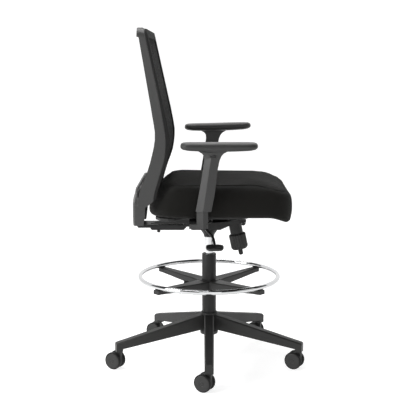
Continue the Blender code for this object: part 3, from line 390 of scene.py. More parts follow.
for k in CASTERS:
    carry(f"caster_stem_{k}", zinc)
    carry(f"caster_axle_{k}", zinc)
    moulding = dressed(f"caster_body_moulding_{k}", f"caster_body_{k}", nylon, 0.0014, 3)
    swivel = Vector(joints[f"caster_swivel_{k}"]["pos_m"])
    stem_low, stem_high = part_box(f"caster_stem_{k}")
    for vertex in moulding.data.vertices:
        arm = Vector((vertex.co.x - swivel.x, vertex.co.y - swivel.y, 0.0))
        if 0 < arm.length < (stem_high.x - stem_low.x) / 2 + BORE_EDGE:
            vertex.co += arm.normalized() * BORE_ROOM
    for side, way in (("left", 1), ("right", -1)):
        spin = joints[f"wheel_spin_{side}_{k}"]
        out = Vector(spin["axis"]) * way
        body = f"wheel_{side}_{k}"
        disc = placed(turned("wheel_disc", wheel_disc_profile(), 56), spin["pos_m"], out)
        tread = placed(turned("wheel_tread", tread_profile(), 64, True), spin["pos_m"], out)
        fit(f"wheel_disc_{side}_{k}", disc, disc_finish, body, "wheel_plastic", body)
        fit(f"wheel_tread_{side}_{k}", tread, tread_finish, body, "black_nylon")


# Star base. One moulding of glass-filled nylon: a hub and five hollow legs with a chamfered top.
# Cross ribs stiffen each leg's hollow from below.

RIB_COUNT = 8
RIB_FIRST = 0.064
RIB_LAST = 0.286
RIB_HEIGHT = 0.0100
RIB_THICKNESS = 0.0022
RIB_BITE = 0.0010
WIDEST_HOLLOW = 0.03


def node_tree(name, result, **inputs):
    """A geometry tree with its inputs, and the nodes that make copies real and paint them."""
    tree = bpy.data.node_groups.new(name, "GeometryNodeTree")
    for label, kind in inputs.items():
        tree.interface.new_socket(name=label, in_out="INPUT", socket_type="NodeSocket" + kind)
    tree.interface.new_socket(name=result, in_out="OUTPUT", socket_type="NodeSocketGeometry")
    given = add_node(tree, "NodeGroupInput")
    copy = add_node(tree, "GeometryNodeInstanceOnPoints")
    real = add_node(tree, "GeometryNodeRealizeInstances")
    paint = add_node(tree, "GeometryNodeSetMaterial")
    end = add_node(tree, "NodeGroupOutput")
    tree.links.new(copy.outputs["Instances"], real.inputs["Geometry"])
    tree.links.new(real.outputs["Geometry"], paint.inputs["Geometry"])
    tree.links.new(given.outputs["Finish"], paint.inputs["Material"])
    tree.links.new(paint.outputs["Geometry"], end.inputs[result])
    return tree, given, copy


def copies_tree():
    """Nodes that put a shape on every point, turned and sized by the point's own values."""
    tree, given, copy = node_tree("copies_on_points", "Copies", Points="Geometry",
                                  Shape="Object", Finish="Material", Size="Float")
    shape = add_node(tree, "GeometryNodeObjectInfo")
    turn = add_node(tree, "GeometryNodeInputNamedAttribute", {"Name": "turn"})
    turn.data_type = "FLOAT_VECTOR"
    size = add_node(tree, "GeometryNodeInputNamedAttribute", {"Name": "size"})
    size.data_type = "FLOAT_VECTOR"
    scale = add_node(tree, "ShaderNodeVectorMath")
    scale.operation = "SCALE"
    link = tree.links.new
    link(given.outputs["Points"], copy.inputs["Points"])
    link(given.outputs["Shape"], shape.inputs["Object"])
    link(shape.outputs["Geometry"], copy.inputs["Instance"])
    link(turn.outputs["Attribute"], copy.inputs["Rotation"])
    link(size.outputs["Attribute"], scale.inputs[0])
    link(given.outputs["Size"], scale.inputs["Scale"])
    link(scale.outputs["Vector"], copy.inputs["Scale"])
    return tree


def run_nodes(name, mesh, tree, values):
    """Run a node tree once on a mesh and keep what it makes as a plain mesh."""
    start = add_object(name, mesh)
    step = start.modifiers.new("nodes", "NODES")
    step.node_group = tree
    for item in tree.interface.items_tree:
        if item.in_out == "INPUT" and item.name in values:
            step[item.identifier] = values[item.name]
    graph = bpy.context.evaluated_depsgraph_get()
    made = bpy.data.meshes.new_from_object(start.evaluated_get(graph))
    bpy.data.objects.remove(start, do_unlink=True)
    return made


COPIES = copies_tree()


def copies(name, shape_mesh, places, finish, body, slot, size=1.0, sharp=32):
    """One piece made of a shape repeated at (place, turn, size) rows."""
    points = bpy.data.meshes.new("points")
    points.from_pydata([tuple(row[0]) for row in places], [], [])
    for label, column in (("turn", 1), ("size", 2)):
        values = points.attributes.new(label, "FLOAT_VECTOR", "POINT")
        values.data.foreach_set("vector", [part for row in places for part in row[column]])
    shape = add_object("shape", shape_mesh)
    made = run_nodes(name, points, COPIES, {"Shape": shape, "Finish": finish, "Size": size})
    bpy.data.objects.remove(shape, do_unlink=True)
    return fit(name, smoothed(made, sharp), finish, body, slot)


def block_mesh(name, bevel=0.06):
    """A cube of side 1 about its middle, with its edges eased."""
    bm = bmesh.new()
    bmesh.ops.create_cube(bm, size=1.0)
    bmesh.ops.bevel(bm, geom=bm.edges[:], offset=bevel, segments=1, profile=0.5, affect="EDGES")
    return mesh_of(bm, name)


def skin_of(mesh):
    """A mesh's faces, ready for rays to meet."""
    return BVHTree.FromPolygons([vertex.co for vertex in mesh.vertices],
                                [tuple(face.vertices) for face in mesh.polygons])


def leg_rib_places():
    """Ribs across each leg's hollow, each fitted to the ceiling and walls it finds there."""
    skin = skin_of(nodes["star_base"].data)
    rows = []
    for k in CASTERS:
        stem = Vector(joints[f"caster_swivel_{k}"]["pos_m"]) - AXIS
        way = math.atan2(stem.y, stem.x)
        along = Vector((math.cos(way), math.sin(way), 0.0))
        across = Vector((-math.sin(way), math.cos(way), 0.0))
        for i in range(RIB_COUNT):
            reach = RIB_FIRST + (RIB_LAST - RIB_FIRST) * i / (RIB_COUNT - 1)
            below = AXIS + along * reach
            ceiling = skin.ray_cast(below, Vector((0, 0, 1)))[0]
            inside = ceiling - Vector((0, 0, RIB_HEIGHT / 2))
            walls = [skin.ray_cast(inside, across * way_out)[3] for way_out in (1, -1)]
            if None in walls or max(walls) > WIDEST_HOLLOW:
                continue
            middle = inside + across * (walls[0] - walls[1]) / 2
            width = walls[0] + walls[1] + RIB_BITE
            rows.append((middle, (0.0, 0.0, way), (RIB_THICKNESS, width, RIB_HEIGHT + 0.0008)))
    return rows


dressed("star_base_moulding", "star_base", nylon, 0.0020, 3)
copies("star_base_ribs", block_mesh("rib"), leg_rib_places(), nylon, "base", "black_nylon")


# Column. A black powder-coated steel tube stands in the hub, with a plastic bush in its mouth.
# The chromed gas cylinder slides in the bush and turns on a thrust bearing inside.

def powder_coat():
    return surface("powder_coat", (0.0100, 0.0100, 0.0098), 0.42, 0.0, gleam=0.28,
                   grain=1500.0, relief=0.35)


def chrome_plate():
    return surface("chrome_plate", (0.60, 0.605, 0.61), 0.07, 1.0, patch=30.0, shade=0.03,
                   grain=240.0, relief=0.015, depth=0.0001, spread=0.03)


coat = powder_coat()
chrome = chrome_plate()
COLUMN_RADIUS = (tube_high.x - tube_low.x) / 2
BUSH_BORE = 0.0146
CYLINDER_RADIUS = 0.0140
TAPER_FROM = 0.4555

column = turned("column", rounded([
    (COLUMN_RADIUS - 0.002, tube_low.z + 0.05),
    (COLUMN_RADIUS - 0.002, tube_low.z),
    (COLUMN_RADIUS, tube_low.z),
    (COLUMN_RADIUS, tube_high.z),
    (COLUMN_RADIUS - 0.002, tube_high.z),
    (COLUMN_RADIUS - 0.002, tube_low.z + 0.06),
], 0.0007, 2), 96, True)
fit("column_outer_tube", placed(column, AXIS, (0, 0, 1)), coat, "base", "black_steel",
    "column_tube")

bush_low, bush_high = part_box("column_guide_bush")
bush = turned("bush", rounded([
    (BUSH_BORE, bush_high.z - 0.02),
    (BUSH_BORE, bush_high.z),
    (COLUMN_RADIUS - 0.0002, bush_high.z),
    (COLUMN_RADIUS - 0.0002, tube_high.z + 0.0003),
    (COLUMN_RADIUS - 0.0026, tube_high.z + 0.0003),
    (COLUMN_RADIUS - 0.0026, bush_low.z),
    (BUSH_BORE, bush_low.z),
    (BUSH_BORE, bush_high.z - 0.03),
], 0.0009, 2), 96, True)
fit("column_bush", placed(bush, AXIS, (0, 0, 1)), nylon, "base", "black_nylon", "column_guide_bush")

cylinder_low, cylinder_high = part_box("gas_cylinder")
cylinder = turned("cylinder", rounded([
    (0.0, cylinder_high.z),
    (0.0130, cylinder_high.z),
    (CYLINDER_RADIUS, TAPER_FROM),
    (CYLINDER_RADIUS, cylinder_low.z + 0.004),
    (0.0125, cylinder_low.z),
    (0.0, cylinder_low.z),
], 0.0010, 2), 80)
fit("gas_cylinder_tube", placed(cylinder, AXIS, (0, 0, 1)), chrome, "seat_lift", "chrome",
    "gas_cylinder")
carry("piston_rod", zinc)
carry("thrust_bearing", zinc)
carry("valve_pin", zinc)


# Foot ring. A chromed steel tube bent to a ring lies on the ends of a moulded four-spoke spider,
# which slides on the column and is held by a clamp knob. A screw under each spoke holds the ring.

ring_low, ring_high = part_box("foot_ring")
RING_HEIGHT = (ring_low.z + ring_high.z) / 2
RING_TUBE = 0.0080
RING_RADIUS = 0.2444
SPOKE_ANGLES = (45, 135, 225, 315)
SPOKE_THICKNESS = 0.0156


def loft(name, rings, closed=False, sharp=32):
    """Join rings of equally many points, and cap the ends unless the rings close."""
    bm = bmesh.new()
    loops = [[bm.verts.new(point) for point in ring] for ring in rings]
    count = len(loops[0])
    pairs = list(zip(loops, loops[1:]))
    if closed:
        pairs.append((loops[-1], loops[0]))
    for a, b in pairs:
        for i in range(count):
            j = (i + 1) % count
            bm.faces.new((a[i], a[j], b[j], b[i]))
    if not closed:
        bm.faces.new(loops[0])
        bm.faces.new(loops[-1])
    bmesh.ops.recalc_face_normals(bm, faces=bm.faces)
    return smoothed(mesh_of(bm, name), sharp)


def round_bar(name, path, radius, sides=16, closed=False):
    """A round bar of one thickness along a run of points."""
    points = [Vector(point) for point in path]
    last = len(points) - 1
    rings = []
    side = None
    for i, point in enumerate(points):
        ahead = points[(i + 1) % len(points)] if closed or i < last else point
        behind = points[i - 1] if closed or i else point
        way = (ahead - behind).normalized()
        if side is None:
            side = way.orthogonal().normalized()
        side = (side - way * side.dot(way)).normalized()
        up = way.cross(side)
        rings.append([point + (side * math.cos(a) + up * math.sin(a)) * radius
                      for a in (2 * math.pi * j / sides for j in range(sides))])
    return loft(name, rings, closed)


def ring_points(radius, height, count):
    return [AXIS + Vector((radius * math.cos(a), radius * math.sin(a), height))
            for a in (2 * math.pi * i / count for i in range(count))]


def screw_mesh():
    """A round screw head along +Z with a socket in its middle."""
    return turned("screw", [
        (0.0, 0.0012),
        (0.0016, 0.0012),
        (0.0018, 0.0026),
        (0.0032, 0.0026),
        (0.0044, 0.0016),
        (0.0046, 0.0),
        (0.0, 0.0),
    ], 14)


def screws(name, places, body, direction=(0, 0, -1), size=1.0):
    """Screw heads that face one way, at a list of places."""
    turn = Vector((0, 0, 1)).rotation_difference(Vector(direction)).to_euler()
    rows = [(place, tuple(turn), (1.0, 1.0, 1.0)) for place in places]
    return copies(name, screw_mesh(), rows, zinc, body, "bright_steel", size)


ring = round_bar("ring", ring_points(RING_RADIUS, RING_HEIGHT, 180), RING_TUBE, 24, True)
fit("foot_ring_tube", ring, chrome, "foot_ring_frame", "chrome", "foot_ring")
dressed("foot_ring_spider_moulding", "foot_ring_spider", nylon, 0.0018, 3)
screws("foot_ring_screws", [
    AXIS + Vector((RING_RADIUS * math.cos(math.radians(a)), RING_RADIUS * math.sin(math.radians(a)),
                   RING_HEIGHT - RING_TUBE - SPOKE_THICKNESS))
    for a in SPOKE_ANGLES], "foot_ring_frame")


def fluted(name, profile, flutes, depth, deep_from, sides=120):
    """A turned mesh with soft flutes wherever it is wider than a radius."""
    mesh = turned(name, profile, sides)
    for vertex in mesh.vertices:
        reach = math.hypot(vertex.co.x, vertex.co.y)
        if reach > deep_from:
            angle = math.atan2(vertex.co.y, vertex.co.x)
            less = depth * (0.5 + 0.5 * math.cos(flutes * angle)) ** 2
            vertex.co.x *= 1 - less / reach
            vertex.co.y *= 1 - less / reach
    return mesh


clamp = joints["foot_ring_clamp_turn"]
clamp_low, clamp_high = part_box("foot_ring_knob")
CLAMP_LENGTH = clamp_high.x - clamp_low.x
clamp_knob = fluted("clamp_knob", rounded([
    (0.0, 0.0),
    (0.0038, 0.0),
    (0.0038, CLAMP_LENGTH - 0.018),
    (0.0095, CLAMP_LENGTH - 0.018),
    (0.0113, CLAMP_LENGTH - 0.003),
    (0.0085, CLAMP_LENGTH),
    (0.0, CLAMP_LENGTH),
], 0.0016, 3), 8, 0.0012, 0.0088, 96)
clamp_axis_point = (clamp_high.x, AXIS.y, clamp["pos_m"][2])
fit("foot_ring_clamp_knob", placed(clamp_knob, clamp_axis_point, (-1, 0, 0)), nylon,
    "foot_ring_clamp", "black_nylon", "foot_ring_knob")


# Tilt mechanism. A pressed steel housing sits on the cylinder's taper and carries both pins.
# A knob under its front winds the spring up, and a lever at the right works the lift's valve.

dressed("tilt_housing_pressing", "tilt_housing", coat, 0.0012, 2)
dressed("seat_plate_pressing", "seat_plate", coat, 0.0008, 2)
dressed("tension_screw_bar", "tension_screw", coat, 0.0009, 2)
carry("tension_spring", zinc)
dressed("back_pin", "back_axle", coat, 0.0007, 2)
dressed("seat_pin", "seat_axle", coat, 0.0007, 2)

tension = joints["tension_turn"]
KNOB_RADIUS = 0.0300
KNOB_LENGTH = 0.0567
tension_knob = fluted("tension_knob", rounded([
    (0.0, -0.0010),
    (KNOB_RADIUS - 0.0040, -0.0010),
    (KNOB_RADIUS, -0.0045),
    (KNOB_RADIUS, -KNOB_LENGTH + 0.0075),
    (KNOB_RADIUS - 0.0050, -KNOB_LENGTH),
    (0.0135, -KNOB_LENGTH),
    (0.0125, -KNOB_LENGTH + 0.0020),
    (0.0, -KNOB_LENGTH + 0.0020),
], 0.0025, 4), 18, 0.0021, KNOB_RADIUS - 0.0060, 180)
fit("tension_knob_grip", placed(tension_knob, tension["pos_m"], -Vector(tension["axis"])), nylon,
    "tension_adjuster", "black_nylon", "tension_knob")


def flowing(points, steps=8):
    """A smooth curve through points."""
    spots = [Vector(point) for point in points]
    ends = [spots[0] * 2 - spots[1]] + spots + [spots[-1] * 2 - spots[-2]]
    made = []
    for a, b, c, d in zip(ends, ends[1:], ends[2:], ends[3:]):
        for i in range(steps):
            t = i / steps
            made.append(0.5 * (2 * b + (c - a) * t + (2 * a - 5 * b + 4 * c - d) * t * t
                               + (3 * b - a - 3 * c + d) * t ** 3))
    made.append(spots[-1])
    return made


LEVER_RADIUS = 0.0048
SOCKET_BORE = 0.0146
SOCKET_LOW = 0.4536
SOCKET_TOP = 0.4898
PADDLE_RIM = 0.0024

lever_pivot = Vector(joints["height_lever_lift"]["pos_m"])
lever_route = flowing([
    Vector((AXIS.x, AXIS.y + 0.006, lever_pivot.z)),
    Vector((AXIS.x + 0.001, AXIS.y - 0.012, lever_pivot.z)),
    lever_pivot + Vector((0.0, 0.010, 0.0)),
    lever_pivot + Vector((-0.001, -0.014, -0.001)),
    AXIS + Vector((-0.008, -0.090, 0.5130)),
    AXIS + Vector((-0.013, -0.110, 0.5035)),
    AXIS + Vector((-0.002, -0.131, 0.4905)),
    AXIS + Vector((0.012, -0.152, 0.4772)),
    AXIS + Vector((0.0175, -0.180, 0.4615)),
    AXIS + Vector((0.0180, -0.206, 0.4548)),
])
fit("height_lever_bar", round_bar("lever", lever_route, LEVER_RADIUS, 18), coat, "height_lever_arm",
    "black_steel", "height_lever")

socket = turned("taper_socket", rounded([
    (SOCKET_BORE, 0.4600),
    (SOCKET_BORE, SOCKET_LOW),
    (0.0170, SOCKET_LOW),
    (0.0200, 0.4620),
    (0.0330, 0.4800),
    (0.0360, SOCKET_TOP),
    (SOCKET_BORE, SOCKET_TOP),
    (SOCKET_BORE, 0.4650),
], 0.0020, 3), 72, True)
fit("taper_socket", placed(socket, AXIS, (0, 0, 1)), coat, "seat_lift", "black_steel")

paddle_low, paddle_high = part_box("height_lever_paddle")


def paddle_ring(share):
    """One cut across the grip: flat on top, round underneath, and narrower at both ends."""
    y = paddle_high.y + (paddle_low.y - paddle_high.y) * share
    swell = max(1 - abs(2 * share - 1) ** 3.2, 0.0) ** 0.42
    swell = 0.45 + 0.55 * swell
    half = (paddle_high.x - paddle_low.x) / 2 * swell
    depth = (paddle_high.z - paddle_low.z) * swell
    middle = (paddle_low.x + paddle_high.x) / 2
    ring = []
    for i in range(32):
        a = 2 * math.pi * i / 32
        across = math.copysign(abs(math.cos(a)) ** 0.50, math.cos(a)) * half
        rise = math.sin(a)
        up = PADDLE_RIM * rise ** 0.4 if rise > 0 else -(depth - PADDLE_RIM) * abs(rise) ** 0.70
        ring.append((middle + across, y, paddle_high.z - PADDLE_RIM + up))
    return ring


paddle = loft("paddle", [paddle_ring(i / 24) for i in range(25)], sharp=60)
fit("height_lever_grip", paddle, nylon, "height_lever_arm", "black_nylon", "height_lever_paddle")

screws("seat_plate_screws", [
    AXIS + Vector((x, y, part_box("seat_plate")[1].z - 0.0047))
    for x in (-0.066, 0.090) for y in (-0.058, 0.058)], "seat", size=1.1)


# Seat. A moulded black pan is screwed to the plate and carries a foam cushion.
# The cushion's cover is woven cloth: a top panel and a boxing strip, sewn together over a welt.

SEAM_HEIGHT = 0.6610
SEAM_DROP = 0.0235
SEAM_DROP_START = 0.150
VOXEL = 0.0062
SHRINK = 0.0026
PUFF_LIMIT = 0.0095
FRONT_BULGE = 0.0030
BULGE_START = 0.20
BULGE_RUN = 0.07
LIP_DROP = 0.0035
SEWN_BAND = 0.0045
UNDERSIDE_BAND = 0.030
WELT_RADIUS = 0.0018
STITCH_LENGTH = 0.0046
STITCH_STEP = 0.0066
STITCH_THICKNESS = 0.0007
STITCHES_ABOVE = 0.0042
STITCHES_BELOW = -0.0062

cushion_low, cushion_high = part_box("seat_cushion")


def cloth(name, colour, thread, sheen):
    """Plain weave on the piece's own map: warp and weft pass over and under each other, and the
    colour is darkened where the threads dip, as painted shade in the weave's hollows.
    """
    made = surface(name, colour, 0.92, gleam=0.12, patch=26.0, shade=0.16, relief=0.0)
    tree = made.node_tree
    shader = tree.nodes["Principled BSDF"]
    shader.inputs["Sheen Weight"].default_value = sheen
    shader.inputs["Sheen Roughness"].default_value = 0.45
    spread = add_node(tree, "ShaderNodeUVMap")
    spread.uv_map = "cloth"
    checks = add_node(tree, "ShaderNodeTexChecker", {"Scale": 1 / thread})
    waves = []
    for direction in ("X", "Y"):
        wave = add_node(tree, "ShaderNodeTexWave",
                        {"Scale": math.pi / (10 * thread), "Distortion": 0.4})
        wave.bands_direction = direction
        tree.links.new(spread.outputs["UV"], wave.inputs["Vector"])
        waves.append(wave)
    weave = add_node(tree, "ShaderNodeMix")
    bump = next(node for node in tree.nodes if node.type == "BUMP")
    bump.inputs["Strength"].default_value = 0.8
    bump.inputs["Distance"].default_value = 0.0006
    # Painted shade: the colour is multiplied by the weave's height, so the hollows between the
    # threads come out darker.
    shade = add_node(tree, "ShaderNodeMix")
    shade.data_type = "RGBA"
    shade.blend_type = "MULTIPLY"
    shade.inputs[0].default_value = 0.55
    tint = next(node for node in tree.nodes if node.type == "MIX" and node.data_type == "RGBA")
    link = tree.links.new
    link(spread.outputs["UV"], checks.inputs["Vector"])
    link(checks.outputs["Fac"], weave.inputs[0])
    link(waves[0].outputs["Fac"], weave.inputs[2])
    link(waves[1].outputs["Fac"], weave.inputs[3])
    link(weave.outputs[0], bump.inputs["Height"])
    link(tint.outputs[2], shade.inputs[6])
    link(weave.outputs[0], shade.inputs[7])
    link(shade.outputs[2], shader.inputs["Base Color"])
    return made


def map_cloth(mesh):
    """A map in metres, seen square on to whichever way each face looks."""
    layer = mesh.uv_layers.new(name="cloth")
    for face in mesh.polygons:
        way = [abs(part) for part in face.normal]
        drop = way.index(max(way))
        keep = [axis for axis in range(3) if axis != drop]
        for corner in face.loop_indices:
            spot = mesh.vertices[mesh.loops[corner].vertex_index].co
            layer.data[corner].uv = (spot[keep[0]], spot[keep[1]])


def clamped(value):
    return min(max(value, 0.0), 1.0)


def seam_height(x):
    """How high the welt runs: level along the sides and lower over the front."""
    front = cushion_high.x - AXIS.x
    share = clamped((x - AXIS.x - SEAM_DROP_START) / (front - SEAM_DROP_START))
    return SEAM_HEIGHT - SEAM_DROP * share * share * (3 - 2 * share)


def evaluated_mesh(piece):
    graph = bpy.context.evaluated_depsgraph_get()
    return bpy.data.meshes.new_from_object(piece.evaluated_get(graph))


def baked(piece):
    """Turn what a piece's modifiers make into its own mesh."""
    mesh = evaluated_mesh(piece)
    piece.modifiers.clear()
    piece.data = mesh
    return mesh


def softened(piece, factor):
    soften = piece.modifiers.new("soften", "SMOOTH")
    soften.factor = factor
    soften.iterations = 6
    baked(piece)


def remeshed_cushion():
    """The cushion as one even skin."""
    piece = add_object("seat_cushion_cover", mesh_of(merged("seat_cushion"), "cushion"))
    even = piece.modifiers.new("even", "REMESH")
    even.mode = "VOXEL"
    even.voxel_size = VOXEL
    baked(piece)
    softened(piece, 0.6)
    return piece


def pinned_points(mesh):
    """Cloth that can't move: what lies on the pan, and what is sewn into the welt."""
    middle = (cushion_low + cushion_high) / 2
    half = (cushion_high - cushion_low) / 2
    held = []
    for vertex in mesh.vertices:
        spot = vertex.co
        rim = max(abs(spot.x - middle.x) / half.x, abs(spot.y - middle.y) / half.y)
        sewn = abs(spot.z - seam_height(spot.x)) < SEWN_BAND and rim > 0.80
        if sewn or (spot.z < cushion_low.z + UNDERSIDE_BAND and vertex.normal.z < -0.6):
            held.append(vertex.index)
    return held


def swell(piece):
    """Draw the cover in a little, swell it with air as its foam does, and keep that shape."""
    mesh = piece.data
    for vertex, way in zip(mesh.vertices, [v.normal.copy() for v in mesh.vertices]):
        vertex.co -= way * SHRINK * clamped(1 + way.z * 2)
    rest = np.array([v.co for v in mesh.vertices])
    piece.vertex_groups.new(name="held").add(pinned_points(mesh), 1.0, "REPLACE")
    sim = piece.modifiers.new("swell", "CLOTH")
    sim.settings.quality = 6
    sim.settings.mass = 0.25
    sim.settings.tension_stiffness = 18
    sim.settings.compression_stiffness = 18
    sim.settings.shear_stiffness = 6
    sim.settings.bending_stiffness = 1.0
    sim.settings.use_pressure = True
    sim.settings.uniform_pressure_force = 4.0
    sim.settings.vertex_group_mass = "held"
    sim.settings.effector_weights.gravity = 0.0
    sim.collision_settings.use_collision = False
    for step in range(1, 21):
        bpy.context.scene.frame_set(step)
    swollen = evaluated_mesh(piece)
    moved = np.array([v.co for v in swollen.vertices]) - rest
    reach = np.linalg.norm(moved, axis=1, keepdims=True)
    moved *= np.minimum(1.0, PUFF_LIMIT / np.maximum(reach, 1e-9))
    piece.modifiers.clear()
    mesh.vertices.foreach_set("co", (rest + moved).ravel())
    bpy.context.scene.frame_set(1)


def bulged(piece):
    """The front of the cushion bows out a little between its lip and its welt."""
    for vertex in piece.data.vertices:
        reach = clamped((vertex.co.x - AXIS.x - BULGE_START) / BULGE_RUN)
        share = clamped((vertex.co.z - cushion_low.z) / (SEAM_HEIGHT - cushion_low.z))
        vertex.co.x += FRONT_BULGE * reach * math.sin(math.pi * share)
        vertex.co.z -= LIP_DROP * reach * (1 - share)
    softened(piece, 0.5)


def refined(piece):
    finer = piece.modifiers.new("finer", "SUBSURF")
    finer.levels = 1
    finer.render_levels = 1
    mesh = baked(piece)
    mesh.shade_smooth()
    map_cloth(mesh)


seat_cloth = cloth("seat_cloth", (0.0108, 0.0104, 0.0092), 0.0017, 0.05)
welt_cloth = cloth("welt_cloth", (0.0108, 0.0104, 0.0092), 0.0012, 0.04)

cushion = remeshed_cushion()
swell(cushion)
bulged(cushion)
refined(cushion)
cushion.data.materials.clear()
cushion.data.materials.append(seat_cloth)
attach(cushion, "seat")
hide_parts("seat_cushion")


def loop_on_cushion(above, proud, count=260):
    """Points round the cushion's side at the welt's height, or that much above it."""
    skin = skin_of(cushion.data)
    middle = (cushion_low + cushion_high) / 2
    points = []
    for i in range(count):
        angle = 2 * math.pi * i / count
        way = Vector((math.cos(angle), math.sin(angle), 0.0))
        spot = middle + way * 0.5
        for _ in range(3):
            start = Vector((spot.x, spot.y, seam_height(spot.x) + above)) + way * 0.5
            spot, normal = skin.ray_cast(start, -way)[:2]
        points.append(spot + normal * proud)
    return points


def evened(points, rounds=4):
    """Take the small steps out of a closed run of points."""
    for _ in range(rounds):
        points = [(points[i - 1] + points[i] * 2 + points[(i + 1) % len(points)]) / 4
                  for i in range(len(points))]
    return points


welt = round_bar("welt", evened(loop_on_cushion(0.0, 0.0001)), WELT_RADIUS, 10, True)
map_cloth(welt)
fit("seat_welt", welt, welt_cloth, "seat", "seat_fabric")


def stitch_tree():
    """Nodes that lay stitches end to end along a line."""
    tree, given, copy = node_tree("stitches_on_line", "Stitches", Line="Geometry", Step="Float",
                                  Length="Float", Thickness="Float", Finish="Material")
    curve = add_node(tree, "GeometryNodeMeshToCurve")
    spots = add_node(tree, "GeometryNodeCurveToPoints")
    spots.mode = "LENGTH"
    thread = add_node(tree, "GeometryNodeMeshUVSphere", {"Segments": 6, "Rings": 4, "Radius": 0.5})
    aim = add_node(tree, "FunctionNodeAlignRotationToVector")
    aim.axis = "Z"
    shape = add_node(tree, "ShaderNodeCombineXYZ")
    link = tree.links.new
    link(given.outputs["Line"], curve.inputs["Mesh"])
    link(curve.outputs["Curve"], spots.inputs["Curve"])
    link(given.outputs["Step"], spots.inputs["Length"])
    link(spots.outputs["Points"], copy.inputs["Points"])
    link(spots.outputs["Tangent"], aim.inputs["Vector"])
    link(aim.outputs["Rotation"], copy.inputs["Rotation"])
    link(thread.outputs["Mesh"], copy.inputs["Instance"])
    link(given.outputs["Thickness"], shape.inputs["X"])
    link(given.outputs["Thickness"], shape.inputs["Y"])
    link(given.outputs["Length"], shape.inputs["Z"])
    link(shape.outputs["Vector"], copy.inputs["Scale"])
    return tree


STITCHES = stitch_tree()


def sewing_thread():
    return surface("sewing_thread", (0.013, 0.0125, 0.0115), 0.75, gleam=0.15, grain=3000.0,
                   relief=0.3)


thread = sewing_thread()


def stitched(name, points):
    """A row of stitches along a closed run of points."""
    line = bpy.data.meshes.new("line")
    runs = [(i, (i + 1) % len(points)) for i in range(len(points))]
    line.from_pydata([tuple(point) for point in points], runs, [])
    made = run_nodes(name, line, STITCHES, {
        "Step": STITCH_STEP, "Length": STITCH_LENGTH, "Thickness": STITCH_THICKNESS,
        "Finish": thread})
    fit(name, smoothed(made, 80), thread, "seat", "seat_fabric")


stitched("seat_stitches_top", evened(loop_on_cushion(STITCHES_ABOVE, 0.0001)))
stitched("seat_stitches_side", evened(loop_on_cushion(STITCHES_BELOW, 0.0001)))

dressed("seat_pan_moulding", "seat_pan", nylon, 0.0020, 3)
pan_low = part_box("seat_pan")[0]
RAIL_REACHES = (0.0880, 0.0912)
RAIL_OUTLINE = [(-0.1990, 0.5130), (-0.1990, 0.5155), (-0.1720, 0.5225), (-0.1500, 0.5430),
                (-0.0680, 0.5430), (-0.0680, 0.5130)]
for side, out in (("left", 1), ("right", -1)):
    cuts = [[(AXIS.x + x, AXIS.y + out * reach, z) for x, z in RAIL_OUTLINE]
            for reach in RAIL_REACHES]
    rail = bmesh.new()
    rail.from_mesh(loft("rail", cuts))
    level_shading(fit(f"seat_rail_{side}", eased(rail, 0.0007, 2), coat, "seat", "black_steel"))
screws("seat_pan_screws", [
    Vector((pan_low.x + 0.012 + 0.096 * i, AXIS.y + side * 0.160, pan_low.z)) for i in (0, 1, 2, 3)
    for side in (-1, 1) if i != 1], "seat", size=0.9)


# Arms. A black steel bracket under the pan holds a flat steel upright on each side.
# A grey plastic sleeve slides on it, with a catch button, and carries a soft skinned pad.

def grey_plastic():
    return surface("grey_plastic", (0.039, 0.039, 0.0385), 0.42, gleam=0.34, grain=1000.0,
                   relief=0.28)


def satin_coat():
    return surface("satin_coat", (0.026, 0.026, 0.0255), 0.38, gleam=0.4, grain=1400.0,
                   relief=0.3)


def soft_skin():
    made = surface("soft_skin", (0.021, 0.021, 0.0205), 0.50, gleam=0.4, grain=420.0,
                   relief=0.35, depth=0.0004)
    made.node_tree.nodes["Principled BSDF"].inputs["Sheen Weight"].default_value = 0.08
    return made


grey = grey_plastic()
skin_finish = soft_skin()
satin = satin_coat()
PAD_RISE = 0.0045
PAD_CORNER = 0.66
PAD_THICKNESS = 0.0274
LEFT_PAD_TILT = math.radians(-1.4)
LEFT_PAD_SHIFT = Vector((-0.0040, 0.0, 0.0))


def pad_outline(half_x, half_y, inset, steps=12):
    """The pad in plan: a bar with nearly round ends."""
    corner = half_y * PAD_CORNER - inset * 0.5
    half_x, half_y = half_x - inset, half_y - inset
    corner = min(corner, half_y)
    points = []
    for quarter, (sx, sy) in enumerate(((1, 1), (-1, 1), (-1, -1), (1, -1))):
        for i in range(steps + 1):
            a = math.radians(90 * (quarter + i / steps))
            points.append((sx * (half_x - corner) + corner * math.cos(a),
                           sy * (half_y - corner) + corner * math.sin(a)))
        if quarter % 2 == 0:
            here = Vector((sx * (half_x - corner), sy * half_y))
            there = Vector((-sx * (half_x - corner), sy * half_y))
            points += [tuple(here.lerp(there, t / 10)) for t in range(1, 10)]
    return points


def pad_mesh(low, high):
    """A lens from the side, with a moulding line round its upper third."""
    middle = (low + high) / 2
    half_x = (high.x - low.x) / 2
    half_y = (high.y - low.y) / 2
    top = high.z
    under = top - PAD_THICKNESS
    levels = [
        (0.026, under, 1.0),
        (0.016, under + 0.0006, 1.0),
        (0.008, under + 0.0024, 0.97),
        (0.003, under + 0.0056, 0.86),
        (0.0008, under + 0.0100, 0.62),
        (0.0, under + 0.0140, 0.36),
        (0.0003, under + 0.0166, 0.20),
        (0.0017, under + 0.0173, 0.16),
        (0.0017, under + 0.0180, 0.13),
        (0.0004, under + 0.0187, 0.10),
        (0.0010, under + 0.0218, 0.04),
        (0.0036, top - 0.0024, 0.0),
        (0.0082, top - 0.0007, 0.0),
        (0.0150, top, 0.0),
        (0.0260, top, 0.0),
    ]
    rings = []
    for inset, height, share in levels:
        rings.append([(middle.x + x, middle.y + y, height + PAD_RISE * share * (x / half_x) ** 2)
                      for x, y in pad_outline(half_x, half_y, inset)])
    return loft("pad", rings, sharp=50)


